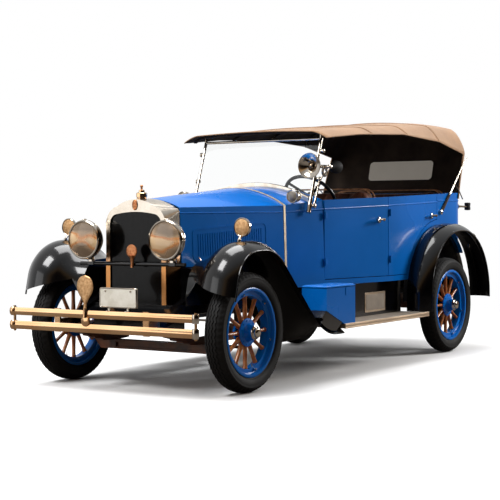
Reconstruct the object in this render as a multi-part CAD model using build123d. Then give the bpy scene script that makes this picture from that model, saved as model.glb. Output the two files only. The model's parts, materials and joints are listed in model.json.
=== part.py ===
from build123d import *
import math
import os

os.makedirs("parts", exist_ok=True)

# Touring car, late 1920s pattern, in millimetres. The car faces -Y, +X is its left side, +Z is up.
# Stations along Y are counted from the front axle, and the whole car is shifted so that
# the origin lies on the ground under the middle of its length.

# Overall sizes
WHEELBASE = 3020.0
TRACK = 1430.0
FRONT_OVERHANG = 588.0
REAR_OVERHANG = 812.0
GROUND_TO_AXLE = 388.0

# Wheels and tyres
TYRE_RADIUS = 388.0
TYRE_WIDTH = 140.0
RIM_SEAT_RADIUS = 270.0
RIM_FLANGE_RADIUS = 287.0
RIM_WIDTH = 103.0
FELLOE_INNER_RADIUS = 236.0
FELLOE_WIDTH = 56.0
SPOKES = 12
SPOKE_ROOT_RADIUS = 17.0
SPOKE_TIP_RADIUS = 13.5
HUB_RADIUS = 60.0
HUB_FLANGE_RADIUS = 88.0
HUB_FLANGE_WALL = 12.0
HUB_INNER = 56.0
HUB_OUTER = 74.0
CAP_RADIUS = 37.0
CAP_LENGTH = 34.0
SPINDLE_RADIUS = 24.9
RUNNING_CLEARANCE = 0.1
DRUM_RADIUS = 168.0
DRUM_WIDTH = 46.0

# Chassis
RAIL_INSIDE = 335.0
RAIL_WIDTH = 50.0
RAIL_DEPTH = 120.0
RAIL_WALL = 6.0
RAIL_BOTTOM = 500.0
RAIL_FRONT = -455.0
RAIL_TAIL = WHEELBASE + 600.0
KICK_RISE = 80.0
SPRING_WIDTH = 48.0
SPRING_THICK = 45.0
FRONT_SPRING_SPAN = 450.0
REAR_SPRING_SPAN = 590.0
BEAM_BOTTOM = 235.0
BEAM_HEIGHT = 60.0
BEAM_WIDTH = 52.0
KINGPIN_X = 600.0
KINGPIN_RADIUS = 13.9
STEER_ARM = 160.0
TIE_ROD_Z = 272.0
TIE_ROD_RADIUS = 11.0
AXLE_TUBE_RADIUS = 38.0

CRANK_Z = 467.0
CRANK_RADIUS = 12.7

# Body
SIDE_START = 279.0
SIDE_TAPER = 0.18
BODY_HALF_WIDTH = 660.0
HOOD_FRONT = -72.0
HOOD_REAR = 922.0
COWL_REAR = 1355.0
DOOR_SPLIT = 2110.0
REAR_DOOR_END = 2975.0
BODY_REAR = WHEELBASE + 540.0
BODY_CORNER = 210.0
SILL_BOTTOM = RAIL_BOTTOM + RAIL_DEPTH
DOOR_BOTTOM = 665.0
BELT_AT_COWL = 1243.0
BELT_RISE = 0.035
DOOR_THICK = 34.0
PANEL_GAP = 5.0
BELT_DROP = 66.0
BELT_RADIUS = 8.0
BELT_OUT = -4.0
STRIP_WIDTH = 20.0
HINGE_OUT = 10.0
BARREL_RADIUS = 7.5
WALL = 20.0
SHEET = 4.0
FLOOR_THICK = 25.0
FLOOR_TOP = RAIL_BOTTOM + RAIL_DEPTH + FLOOR_THICK
FLOOR_STEP_Y = 2560.0
FLOOR_STEP = 80.0
POST_X = BODY_HALF_WIDTH - 100.0

# Hood and radiator
HOOD_CROWN_FRONT = 1250.0
HOOD_CROWN_REAR = 1333.0
SHOULDER_FRONT = 1190.0
SHOULDER_REAR = 1203.0
HOOD_BOTTOM = 800.0
HINGE_RADIUS = 5.0
PRESSING = 3.0
LOUVRES = 28
LOUVRE_FIRST = 90.0
LOUVRE_LAST = 694.0
BEAD_RADIUS = 4.5
RADIATOR_FRONT = -212.0
RADIATOR_BOTTOM = 560.0
CORE_HALF_WIDTH = 212.0
CORE_TOP = 1163.0
CORE_SPRING = 1078.0
COWL_LAMP_RADIUS = 46.0
COWL_LAMP_X = 478.0
COWL_LAMP_Y = 1040.0
COWL_LAMP_Z = 1268.0
SHELL_TAPER = 12.0
SHELL_SPRING = 1060.0
SHELL_SHOULDER_X = 150.0
SHELL_SHOULDER_Z = 1200.0

# Fenders and running boards
FENDER_OUTER = 865.0
FENDER_LIP = 62.0
FENDER_INNER = 430.0
FENDER_CROWN_X = 735.0
FENDER_TOP = 970.0
FENDER_SHOULDER = (150.0, 60.0)
SKIRT_BOTTOM = 560.0
BOARD_TOP = 370.0
BOARD_THICK = 30.0
BOARD_INNER = 618.0
BOARD_START = 1050.0
REAR_ARCH_RADIUS = 600.0
REAR_ARCH_Z = 460.0
ARCH_BAND = 30.0

# Lamps, bumper and toolbox
LAMP_X = 335.0
LAMP_FRONT = -338.0
LAMP_Z = 981.0
LAMP_RADIUS = 129.0
LAMP_DEPTH = 150.0
BAR_Y = -250.0
BAR_Z = 822.0
BUMPER_HALF = 735.0
BUMPER_ROWS = ((393.0, 448.0), (486.0, 536.0))
BUMPER_EYE = 18.0
BUMPER_PIN = 9.0
BRACKET_X = 360.0
BOX_Y = (800.0, 1205.0)
BOX_X = (664.0, 860.0)
BOX_TOP = 645.0

# Windscreen, steering, horn and floor
FLOOR_HALF = 455.0
SCREEN_X = 510.0
RAIL_SIDE_Z = 1243.0
RAIL_CROWN_Z = 1359.0
RAIL_RADIUS = 11.0
SCREEN_FOOT = (1150.0, 1150.0)
SCREEN_TOP = (1340.0, 1690.0)
WHEEL_CENTRE = (290.0, 1560.0, 1270.0)
COLUMN_FOOT = (290.0, 985.0, 760.0)
HORN_X = 560.0
HORN_Z = 1485.0
HORN_MOUTH = 88.0

# Soft top
TOP_THICK = 12.0
WRAP_WALL = 7.0
WRAP_OUT = 11.0
WRAP_BOTTOM = 1270.0
WRAP_TOP = 1650.0
WRAP_HALF = 650.0
WRAP_REAR = 3690.0
WRAP_CORNER = 120.0
WRAP_FRONT = 3390.0
WRAP_LEAN = 3545.0
BOW_STATIONS = (1340.0, 1900.0, 2480.0, 3060.0)
BOW_WIDTH = 42.0
BOW_THICK = 16.0
REST_X = 600.0
REST_Z = 1200.0

# Soft top sections. Columns: station, half-width, edge height, crown height
TOP_ROWS = (
    (1215.0, 628.0, 1690.0, 1760.0),
    (1700.0, 640.0, 1735.0, 1805.0),
    (2400.0, 648.0, 1765.0, 1860.0),
    (3050.0, 650.0, 1735.0, 1915.0),
    (3520.0, 648.0, 1652.0, 1942.0),
    (3640.0, 640.0, 1650.0, 1915.0),
    (3692.0, 590.0, 1650.0, 1868.0),
)

rear_end = WHEELBASE + REAR_OVERHANG
shift = -(rear_end - FRONT_OVERHANG) / 2
parts = {}


def side_x(y):
    """Half-width of the body side at a station."""
    return min(SIDE_START + SIDE_TAPER * y, BODY_HALF_WIDTH)


def belt_z(y):
    """Height of the body's top edge at a station."""
    return BELT_AT_COWL + BELT_RISE * (y - COWL_REAR)


def block(x, y, z):
    """Block between two faces on each axis."""
    size = Box(x[1] - x[0], y[1] - y[0], z[1] - z[0])
    return Pos((x[0] + x[1]) / 2, (y[0] + y[1]) / 2, (z[0] + z[1]) / 2) * size


def rod(start, end, radius):
    """Round bar between two points."""
    run = Vector(*end) - Vector(*start)
    axis = Plane(origin=start, z_dir=run)
    return axis * Cylinder(radius, run.length, align=(Align.CENTER, Align.CENTER, Align.MIN))


def taper(start, end, radius_start, radius_end):
    """Tapered round bar between two points."""
    run = Vector(*end) - Vector(*start)
    axis = Plane(origin=start, z_dir=run)
    return axis * Cone(radius_start, radius_end, run.length, align=(Align.CENTER, Align.CENTER, Align.MIN))


def side_plate(outline, x):
    """Plate with a side-view outline of (Y, Z) points, between two X."""
    face = make_face(Polyline(*[(x[0], p[0], p[1]) for p in outline], close=True))
    return extrude(face, amount=x[1] - x[0], dir=(1, 0, 0))


def front_plate(outline, y):
    """Plate with a front-view outline of (X, Z) points, between two Y."""
    face = make_face(Polyline(*[(p[0], y[0], p[1]) for p in outline], close=True))
    return extrude(face, amount=y[1] - y[0], dir=(0, 1, 0))


def plan_plate(outline, z):
    """Plate with a plan-view outline of (X, Y) points, between two Z."""
    face = make_face(Polyline(*[(p[0], p[1], z[0]) for p in outline], close=True))
    return extrude(face, amount=z[1] - z[0], dir=(0, 0, 1))


def pipe(points, radius, bend):
    """Round tube along straight runs joined by bends."""
    path = FilletPolyline(*points, radius=bend)
    start = Plane(origin=path @ 0, z_dir=path % 0)
    return sweep(start * Circle(radius), path=path)


def other_side(shape):
    """The same piece on the car's right side."""
    return mirror(shape, about=Plane.YZ)


def group(*shapes):
    """Separate solids of one node."""
    solids = []
    for shape in shapes:
        solids.extend(shape.solids())
    return Compound(solids)


def pair(shape):
    """A piece and its mirror image."""
    return group(shape, other_side(shape))


def wheel_tyre():
    """Tyre about the X axis."""
    half = RIM_WIDTH / 2 - 1.5
    crown = TYRE_WIDTH / 2
    shoulder = TYRE_RADIUS - 11
    outline = [
        Line((-half, 0, RIM_SEAT_RADIUS), (-half, 0, RIM_FLANGE_RADIUS)),
        ThreePointArc((-half, 0, RIM_FLANGE_RADIUS), (-crown, 0, 333), (-48, 0, shoulder)),
        ThreePointArc((-48, 0, shoulder), (0, 0, TYRE_RADIUS), (48, 0, shoulder)),
        ThreePointArc((48, 0, shoulder), (crown, 0, 333), (half, 0, RIM_FLANGE_RADIUS)),
        Line((half, 0, RIM_FLANGE_RADIUS), (half, 0, RIM_SEAT_RADIUS)),
        Line((half, 0, RIM_SEAT_RADIUS), (-half, 0, RIM_SEAT_RADIUS)),
    ]
    return revolve(make_face(Wire(outline)), axis=Axis.X, revolution_arc=360)


def wheel_body(with_drum):
    """Rim, wooden-spoked felloe, hub and cap about the X axis, cap towards +X."""
    half = RIM_WIDTH / 2
    flange = 5.0
    felloe = FELLOE_WIDTH / 2
    seat = RIM_SEAT_RADIUS
    ring = [
        (-felloe, FELLOE_INNER_RADIUS),
        (felloe, FELLOE_INNER_RADIUS),
        (felloe, seat - 8),
        (half + flange, seat - 8),
        (half + flange, RIM_FLANGE_RADIUS),
        (half, RIM_FLANGE_RADIUS),
        (half, seat),
        (-half, seat),
        (-half, RIM_FLANGE_RADIUS),
        (-half - flange, RIM_FLANGE_RADIUS),
        (-half - flange, seat - 8),
        (-felloe, seat - 8),
    ]
    hub = [
        (-HUB_INNER, SPINDLE_RADIUS + RUNNING_CLEARANCE),
        (-HUB_INNER, HUB_RADIUS),
        (14, HUB_RADIUS),
        (14, HUB_FLANGE_RADIUS),
        (14 + HUB_FLANGE_WALL, HUB_FLANGE_RADIUS),
        (30, HUB_RADIUS - 8),
        (HUB_OUTER, CAP_RADIUS + 4),
        (HUB_OUTER, CAP_RADIUS),
        (HUB_OUTER + CAP_LENGTH - 6, CAP_RADIUS),
        (HUB_OUTER + CAP_LENGTH, CAP_RADIUS - 8),
        (HUB_OUTER + CAP_LENGTH, 0),
        (HUB_OUTER, 0),
        (HUB_OUTER, SPINDLE_RADIUS + RUNNING_CLEARANCE),
    ]
    body = None
    for outline in (ring, hub):
        face = make_face(Polyline(*[(x, 0, r) for x, r in outline], close=True))
        solid = revolve(face, axis=Axis.X, revolution_arc=360)
        body = solid if body is None else body + solid
    spoke = taper(
        (0, 0, HUB_RADIUS - 6),
        (0, 0, FELLOE_INNER_RADIUS + 6),
        SPOKE_ROOT_RADIUS,
        SPOKE_TIP_RADIUS,
    )
    for step in range(SPOKES):
        body += Rot(X=360.0 * step / SPOKES) * spoke
    if with_drum:
        drum = Rot(Y=90) * Cylinder(DRUM_RADIUS, DRUM_WIDTH)
        hollow = Rot(Y=90) * Cylinder(DRUM_RADIUS - 8, DRUM_WIDTH)
        web = DRUM_WIDTH / 2
        place = -HUB_INNER + web + 12
        body += Pos(place, 0, 0) * drum - Pos(place - 8, 0, 0) * hollow
        body -= rod((-HUB_INNER - 1, 0, 0), (HUB_OUTER, 0, 0), SPINDLE_RADIUS + RUNNING_CLEARANCE)
    return body


# Wheels
tyre = wheel_tyre()
front_wheel = wheel_body(False)
rear_wheel = wheel_body(True)
for end, station, wheel in (("front", 0.0, front_wheel), ("rear", WHEELBASE, rear_wheel)):
    for side, sign in (("left", 1), ("right", -1)):
        place = Pos(sign * TRACK / 2, station, GROUND_TO_AXLE)
        turn = Rot(Z=0 if sign > 0 else 180)
        parts[f"{end}_{side}_tyre"] = place * turn * tyre
        parts[f"{end}_{side}_wheel"] = place * turn * wheel

# Spare wheel behind the body, cap side to the rear
spare_y = rear_end - HUB_OUTER - CAP_LENGTH
spare_z = 760.0
spare_place = Pos(0, spare_y, spare_z) * Rot(Z=90)
parts["spare_tyre"] = spare_place * tyre
parts["spare_wheel"] = spare_place * front_wheel

carrier = rod((0, BODY_REAR, spare_z), (0, spare_y + HUB_OUTER - 6, spare_z), SPINDLE_RADIUS)
carrier += rod((0, BODY_REAR, spare_z), (0, BODY_REAR + 14, spare_z), 110)
parts["spare_carrier"] = carrier

# Frame rails: channels with a kick-up over the rear axle
rail_outline = [
    (RAIL_FRONT, RAIL_BOTTOM - 62),
    (RAIL_FRONT + 40, RAIL_BOTTOM - 70),
    (-120, RAIL_BOTTOM),
    (2600, RAIL_BOTTOM),
    (2790, RAIL_BOTTOM + KICK_RISE),
    (3290, RAIL_BOTTOM + KICK_RISE),
    (RAIL_TAIL - 20, RAIL_BOTTOM + 10),
    (RAIL_TAIL, RAIL_BOTTOM + 10),
    (RAIL_TAIL, RAIL_BOTTOM + 70),
    (3330, RAIL_BOTTOM + KICK_RISE + RAIL_DEPTH),
    (2755, RAIL_BOTTOM + KICK_RISE + RAIL_DEPTH),
    (2575, RAIL_BOTTOM + RAIL_DEPTH),
    (-120, RAIL_BOTTOM + RAIL_DEPTH),
    (RAIL_FRONT, RAIL_BOTTOM - 22),
]
rail_outer = RAIL_INSIDE + RAIL_WIDTH
rail_face = make_face(Polyline(*[(RAIL_INSIDE, p[0], p[1]) for p in rail_outline], close=True))
rail_pocket = extrude(offset(rail_face, amount=-RAIL_WALL), amount=RAIL_WIDTH - RAIL_WALL, dir=(1, 0, 0))
rail = extrude(rail_face, amount=RAIL_WIDTH, dir=(1, 0, 0)) - rail_pocket
parts["frame_rails"] = pair(rail)

# Crossmembers: name, station, half-length, bottom, height
cross_rows = (
    ("front", -190.0, 50.0, 505.0, 55.0),
    ("gearbox", 1080.0, 35.0, 478.0, 60.0),
    ("middle", 1950.0, 30.0, 552.0, 60.0),
    ("kick", 2690.0, 25.0, 560.0, 60.0),
    ("tail", 3585.0, 20.0, 515.0, 50.0),
)
members = []
for name, station, half, low, height in cross_rows:
    member = block((-RAIL_INSIDE, RAIL_INSIDE), (station - half, station + half), (low, low + height))
    inner_y = (station - half + RAIL_WALL, station + half - RAIL_WALL)
    member -= block((-RAIL_INSIDE, RAIL_INSIDE), inner_y, (low - 1, low + height - RAIL_WALL))
    if name == "front":
        lug_y = (station - half - 34, station - half + RAIL_WALL)
        member += rod((0, lug_y[0], CRANK_Z), (0, lug_y[1], CRANK_Z), CRANK_RADIUS + 9)
        member += block(
            (-CRANK_RADIUS - 9, CRANK_RADIUS + 9),
            (lug_y[1] - 12, lug_y[1]),
            (CRANK_Z, low + 20),
        )
        member -= rod((0, lug_y[0] - 6, CRANK_Z), (0, lug_y[1] + 6, CRANK_Z), CRANK_RADIUS)
    members.append(member)
parts["crossmembers"] = group(*members)

# Leaf springs: five leaves each, longest on top
def leaf_pack(station, span, seat_z, end_z):
    """Arched pack of leaves with rolled eyes, on the left rail's line."""
    middle = RAIL_INSIDE + RAIL_WIDTH / 2
    x = (middle - SPRING_WIDTH / 2, middle + SPRING_WIDTH / 2)
    leaf = SPRING_THICK / 5
    rise = end_z - seat_z - SPRING_THICK
    pack = None
    for step in range(5):
        share = 1 - 0.17 * (4 - step)
        low = seat_z + leaf * step
        reach = span * share
        lift = rise * share**2
        lower = ThreePointArc(
            (x[0], station - reach, low + lift),
            (x[0], station, low),
            (x[0], station + reach, low + lift),
        )
        upper = ThreePointArc(
            (x[0], station - reach, low + leaf + lift),
            (x[0], station, low + leaf),
            (x[0], station + reach, low + leaf + lift),
        )
        ends = [Line(lower @ 0, upper @ 0), Line(lower @ 1, upper @ 1)]
        face = make_face(Wire([lower, upper, *ends]))
        solid = extrude(face, amount=SPRING_WIDTH, dir=(1, 0, 0))
        pack = solid if pack is None else pack + solid
    return pack


beam_top = BEAM_BOTTOM + BEAM_HEIGHT
front_pack = leaf_pack(0.0, FRONT_SPRING_SPAN, beam_top, 405.0)
axle_top = GROUND_TO_AXLE + AXLE_TUBE_RADIUS + 8
rear_pack = leaf_pack(WHEELBASE, REAR_SPRING_SPAN, axle_top, 492.0)
spring_x = RAIL_INSIDE + RAIL_WIDTH / 2
hanger_x = (spring_x - 20, spring_x + 20)
hangers = [
    block(hanger_x, (FRONT_SPRING_SPAN - 14, FRONT_SPRING_SPAN + 14), (398, RAIL_BOTTOM)),
    block(hanger_x, (-FRONT_SPRING_SPAN - 4, -FRONT_SPRING_SPAN + 14), (398, RAIL_BOTTOM - 63)),
]
parts["front_springs"] = pair(front_pack + hangers[0] + block(hanger_x, (-448, -432), (402, 428)))
rear_hangers = block(
    hanger_x,
    (WHEELBASE - REAR_SPRING_SPAN, WHEELBASE - REAR_SPRING_SPAN + 28),
    (486, RAIL_BOTTOM),
)
rear_hangers += block(
    hanger_x,
    (WHEELBASE + REAR_SPRING_SPAN - 28, WHEELBASE + REAR_SPRING_SPAN - 10),
    (486, RAIL_BOTTOM + 9),
)
parts["rear_springs"] = pair(rear_pack + rear_hangers)

# Front axle: dropped I-beam with kingpin eyes
beam_outline = [
    (-KINGPIN_X + 40, 372),
    (-KINGPIN_X, 372),
    (-KINGPIN_X, 404),
    (-KINGPIN_X + 60, 404),
    (-420, beam_top),
    (420, beam_top),
    (KINGPIN_X - 60, 404),
    (KINGPIN_X, 404),
    (KINGPIN_X, 372),
    (KINGPIN_X - 40, 372),
    (450, BEAM_BOTTOM),
    (-450, BEAM_BOTTOM),
]
beam = front_plate(beam_outline, (-BEAM_WIDTH / 2, BEAM_WIDTH / 2))
for sign in (-1, 1):
    web = (sign * BEAM_WIDTH / 2, sign * 8.0)
    beam -= block((-320, 320), (min(web), max(web)), (BEAM_BOTTOM + 12, beam_top - 12))
for sign in (-1, 1):
    x = sign * KINGPIN_X
    beam += Pos(x, 0, GROUND_TO_AXLE) * Cylinder(27, 46)
    beam += Pos(x, 0, GROUND_TO_AXLE) * Cylinder(KINGPIN_RADIUS, 108)
parts["front_axle"] = beam

# Rear axle: tubes, round centre housing, brake plates and torque tube
hub_bore_end = TRACK / 2 + HUB_OUTER - 6
axle = rod(
    (-KINGPIN_X - 12, WHEELBASE, GROUND_TO_AXLE),
    (KINGPIN_X + 12, WHEELBASE, GROUND_TO_AXLE),
    AXLE_TUBE_RADIUS,
)
axle += rod(
    (-hub_bore_end, WHEELBASE, GROUND_TO_AXLE),
    (hub_bore_end, WHEELBASE, GROUND_TO_AXLE),
    SPINDLE_RADIUS,
)
axle += Pos(0, WHEELBASE, GROUND_TO_AXLE) * Sphere(128)
drum_open = TRACK / 2 - HUB_INNER + 12 - 8
for sign in (-1, 1):
    plate_x = sign * (drum_open - 14)
    axle += rod(
        (plate_x, WHEELBASE, GROUND_TO_AXLE),
        (plate_x - sign * 6, WHEELBASE, GROUND_TO_AXLE),
        DRUM_RADIUS - 12,
    )
    seat_x = (sign * spring_x - SPRING_WIDTH / 2, sign * spring_x + SPRING_WIDTH / 2)
    axle += block(seat_x, (WHEELBASE - 55, WHEELBASE + 55), (GROUND_TO_AXLE, axle_top))
axle += taper((0, WHEELBASE - 90, GROUND_TO_AXLE), (0, 1246, 576), 42, 34)
parts["rear_axle"] = axle

# Engine as one plain block with its gearbox
engine = block((-130, 130), (60, 700), (470, 1040)) + block((-150, 150), (700, 800), (470, 760))
engine += block((-95, 95), (800, 1215), (540, 618))
engine += rod((0, 1210, 582), (0, 1240, 582), 36)
engine += block((-RAIL_INSIDE, RAIL_INSIDE), (735, 775), (560, 600))
parts["engine"] = engine

# Exhaust pipe and silencer on the right
exhaust_run = [
    (-130, 560, 700),
    (-225, 560, 700),
    (-235, 780, 440),
    (-235, 2330, 440),
    (-235, 2560, 500),
    (-235, 3110, 500),
    (-235, 3290, 392),
    (-235, 3660, 392),
]
exhaust = pipe(exhaust_run, 22, 60)
exhaust += rod((-235, 1560, 440), (-235, 2130, 440), 62)
exhaust += block((-250, -220), (1920, 1920 + RAIL_WALL), (495, 540))
parts["exhaust"] = exhaust

# Fuel tank across the tail
tank = rod((-RAIL_INSIDE, 3440, 530), (RAIL_INSIDE, 3440, 530), 108)
parts["fuel_tank"] = tank

# Knuckles: fork about the beam's eye, spindle, steering arm and pin
def knuckle():
    """Left front knuckle."""
    lug_low = (GROUND_TO_AXLE - 48, GROUND_TO_AXLE - 24)
    lug_high = (GROUND_TO_AXLE + 24, GROUND_TO_AXLE + 48)
    back = (KINGPIN_X + 33, KINGPIN_X + 52)
    body = block(back, (-32, 32), (lug_low[0], lug_high[1]))
    for low, high in (lug_low, lug_high):
        body += block((KINGPIN_X, back[1]), (-26, 26), (low, high))
        body += Pos(KINGPIN_X, 0, (low + high) / 2) * Cylinder(26, high - low)
    body -= Pos(KINGPIN_X, 0, GROUND_TO_AXLE) * Cylinder(KINGPIN_RADIUS + RUNNING_CLEARANCE, 120)
    body += rod((back[0], 0, GROUND_TO_AXLE), (hub_bore_end, 0, GROUND_TO_AXLE), SPINDLE_RADIUS)
    arm_z = lug_low[0] + 10
    body += rod((KINGPIN_X, 26, arm_z), (KINGPIN_X, STEER_ARM, arm_z), 10)
    body += rod((KINGPIN_X, STEER_ARM, arm_z + 10), (KINGPIN_X, STEER_ARM, TIE_ROD_Z - 18), 8)
    return body


left_knuckle = knuckle()
parts["left_knuckle"] = left_knuckle
parts["right_knuckle"] = other_side(left_knuckle)

# Tie rod with an eye at each end
tie = rod((-KINGPIN_X + 16, STEER_ARM, TIE_ROD_Z), (KINGPIN_X - 16, STEER_ARM, TIE_ROD_Z), TIE_ROD_RADIUS)
for sign in (-1, 1):
    tie += Pos(sign * KINGPIN_X, STEER_ARM, TIE_ROD_Z) * Cylinder(19, 24)
for sign in (-1, 1):
    tie -= Pos(sign * KINGPIN_X, STEER_ARM, TIE_ROD_Z) * Cylinder(8 + RUNNING_CLEARANCE, 40)
parts["tie_rod"] = tie


# Hood: shoulder sections at each end, from the centre hinge round the shoulder and down the side
def hood_section(y, crown, shoulder, inset):
    """Half section of the hood at a station, as (X, Z) key points, inset from the outer skin."""
    x = side_x(y)
    top = crown - inset
    mid_x = x * 0.55
    sag = (crown - shoulder) * 0.34
    return {
        "crown": (HINGE_RADIUS + 2.0, top),
        "mid": (mid_x, crown - sag - inset),
        "shoulder": (x - 10 - inset, shoulder - inset),
        "bottom": (x - inset + 4, HOOD_BOTTOM),
    }


def half_section_face(y, crown, shoulder, outset, thick):
    """Closed face of the hood's half section, from the outset surface to the inside of the sheet."""
    out = hood_section(y, crown, shoulder, -outset)
    ins = hood_section(y, crown, shoulder, thick)

    def spot(p):
        return (p[0], y, p[1])

    edges = [
        ThreePointArc(spot(out["crown"]), spot(out["mid"]), spot(out["shoulder"])),
        Line(spot(out["shoulder"]), spot(out["bottom"])),
        Line(spot(out["bottom"]), spot(ins["bottom"])),
        Line(spot(ins["bottom"]), spot(ins["shoulder"])),
        ThreePointArc(spot(ins["shoulder"]), spot(ins["mid"]), spot(ins["crown"])),
        Line(spot(ins["crown"]), spot(out["crown"])),
    ]
    return make_face(Wire(edges))


def hood_shell(outset, thick):
    """Sheet of the left hood half, standing out from the skin by outset."""
    ends = (
        (HOOD_FRONT + PANEL_GAP, HOOD_CROWN_FRONT, SHOULDER_FRONT),
        (HOOD_REAR, HOOD_CROWN_REAR, SHOULDER_REAR),
    )
    return loft([half_section_face(*end, outset, thick) for end in ends], ruled=True)


def rounded_panel(front, rear, low, high_front, high_rear, radius):
    """Prism across the hood side with a rounded outline."""
    points = [(front, low), (rear, low), (rear, high_rear), (front, high_front)]
    outline = FilletPolyline(*[(200, y, z) for y, z in points], radius=radius, close=True)
    return extrude(make_face(outline), amount=300, dir=(1, 0, 0))


hood_half = hood_shell(0, SHEET)
raised = hood_shell(PRESSING, SHEET)
pressings = rounded_panel(36, 748, 830, 1051, 1090, 40) - rounded_panel(47, 737, 841, 1040, 1079, 32)
for step in range(LOUVRES):
    y = LOUVRE_FIRST + (LOUVRE_LAST - LOUVRE_FIRST) * step / (LOUVRES - 1)
    top = 1010 + 0.055 * (y - 36)
    pressings += block((200, 500), (y - 4, y + 4), (868, top))
hood_half += raised & pressings
bead_low = (side_x(HOOD_FRONT + PANEL_GAP) - 8.5, HOOD_FRONT + PANEL_GAP + 1, SHOULDER_FRONT - 37)
bead_high = (side_x(HOOD_REAR) - 8.5, HOOD_REAR - 1, SHOULDER_REAR - 47)
hood_half += rod(bead_low, bead_high, BEAD_RADIUS)
parts["left_hood"] = hood_half
parts["right_hood"] = other_side(hood_half)

# Cowl: same sections carried back to the doors, closed in front by the firewall
cowl_crown = HOOD_CROWN_REAR + 14


def full_section_face(y, crown, shoulder, inset, low):
    """Closed face of the whole body section at a station."""
    half = hood_section(y, crown, shoulder, inset)
    x0 = half["bottom"][0]
    key = {
        "crown": (0.0, crown - inset),
        "left_mid": half["mid"],
        "left": half["shoulder"],
        "left_low": (x0, low),
        "right_low": (-x0, low),
        "right": (-half["shoulder"][0], half["shoulder"][1]),
    }

    def spot(name):
        return (key[name][0], y, key[name][1])

    edges = [
        ThreePointArc(spot("left"), spot("crown"), spot("right")),
        Line(spot("right"), spot("right_low")),
        Line(spot("right_low"), spot("left_low")),
        Line(spot("left_low"), spot("left")),
    ]
    return make_face(Wire(edges))


cowl_front = HOOD_REAR + PANEL_GAP
outer = loft(
    [
        full_section_face(cowl_front, HOOD_CROWN_REAR, SHOULDER_REAR, 0, SILL_BOTTOM),
        full_section_face(COWL_REAR, cowl_crown, BELT_AT_COWL, 0, SILL_BOTTOM),
    ],
    ruled=True,
)
inner = loft(
    [
        full_section_face(cowl_front, HOOD_CROWN_REAR, SHOULDER_REAR, WALL, SILL_BOTTOM - 1),
        full_section_face(COWL_REAR, cowl_crown, BELT_AT_COWL, WALL, SILL_BOTTOM - 1),
    ],
    ruled=True,
)
cowl = outer - inner
firewall = outer & block((-600, 600), (cowl_front, cowl_front + 6), (690, 1400))
cowl += firewall
dash_y = 1290.0
dash = outer & block((-600, 600), (dash_y, dash_y + 16), (1080, 1400))
cowl += dash
cowl_bead_end = (side_x(COWL_REAR) - 6, COWL_REAR - 1, BELT_AT_COWL - BELT_DROP)
cowl_bead_start = (side_x(cowl_front) - 8, cowl_front + STRIP_WIDTH + 2, SHOULDER_REAR - 47)
for mirrored in (False, True):
    bead = rod(cowl_bead_start, cowl_bead_end, BEAD_RADIUS + 2)
    cowl += other_side(bead) if mirrored else bead
cowl -= inner & block((-700, 700), (cowl_front + 7, dash_y - 1), (SILL_BOTTOM - 2, 1400))
parts["cowl"] = cowl

# Bright strip round the cowl's front edge, covering the hood joint
strip_start = cowl_front + 1
strip_faces = []
for outset in (2.5, 0.0):
    ends = []
    for y in (strip_start, strip_start + STRIP_WIDTH):
        share = (y - cowl_front) / (COWL_REAR - cowl_front)
        crown = HOOD_CROWN_REAR + share * (cowl_crown - HOOD_CROWN_REAR)
        shoulder = SHOULDER_REAR + share * (BELT_AT_COWL - SHOULDER_REAR)
        ends.append(full_section_face(y, crown, shoulder, -outset, SILL_BOTTOM + 40 - outset))
    strip_faces.append(loft(ends, ruled=True))
strip = strip_faces[0] - outer - block((-700, 700), (0, 1400), (500, SILL_BOTTOM + 45))

# Hood hinge rod between radiator shell and cowl
hinge_front = (0, HOOD_FRONT, HOOD_CROWN_FRONT - 4)
hinge_rear = (0, cowl_front, HOOD_CROWN_REAR - 4)
hinge_span = block((-20, 20), (HOOD_FRONT, cowl_front), (1000, 1500))
parts["hood_hinge"] = group(rod(hinge_front, hinge_rear, HINGE_RADIUS) & hinge_span, strip)

# Radiator shell and core
def arched_outline(y, half, spring, shoulder, crown, low, foot):
    """Closed outline with upright sides, rounded shoulders and a crowned top.
    Shoulder is the (X, Z) point where the shoulder arc meets the crown arc."""
    bend = (half - (half - shoulder[0]) * 0.24, spring + (shoulder[1] - spring) * 0.66)
    edges = [
        Line((foot, y, low), (half, y, spring)),
        ThreePointArc((half, y, spring), (bend[0], y, bend[1]), (shoulder[0], y, shoulder[1])),
        ThreePointArc((shoulder[0], y, shoulder[1]), (0, y, crown), (-shoulder[0], y, shoulder[1])),
        ThreePointArc((-shoulder[0], y, shoulder[1]), (-bend[0], y, bend[1]), (-half, y, spring)),
        Line((-half, y, spring), (-foot, y, low)),
        Line((-foot, y, low), (foot, y, low)),
    ]
    return make_face(Wire(edges))


shell_half = side_x(HOOD_FRONT) - 10
front_band = arched_outline(
    RADIATOR_FRONT,
    shell_half - SHELL_TAPER,
    SHELL_SPRING,
    (SHELL_SHOULDER_X, SHELL_SHOULDER_Z),
    HOOD_CROWN_FRONT - 6,
    RADIATOR_BOTTOM,
    shell_half - SHELL_TAPER + 4,
)
rear_band = arched_outline(
    HOOD_FRONT,
    shell_half,
    SHOULDER_FRONT - 34,
    (shell_half - 26, SHOULDER_FRONT - 2),
    HOOD_CROWN_FRONT,
    RADIATOR_BOTTOM,
    shell_half + 10,
)
shell = loft([front_band, rear_band], ruled=True)
opening_face = arched_outline(
    RADIATOR_FRONT - 10,
    CORE_HALF_WIDTH,
    CORE_SPRING,
    (CORE_HALF_WIDTH - 62, CORE_TOP - 14),
    CORE_TOP,
    RADIATOR_BOTTOM - 10,
    CORE_HALF_WIDTH,
)
opening = extrude(opening_face, amount=HOOD_FRONT - RADIATOR_FRONT + 30, dir=(0, 1, 0))
cap = Pos(0, -140, HOOD_CROWN_FRONT + 8) * Cylinder(30, 40)
cap += Pos(0, -140, HOOD_CROWN_FRONT + 34) * Cylinder(20, 20)
parts["radiator_shell"] = shell - opening + cap
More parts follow.
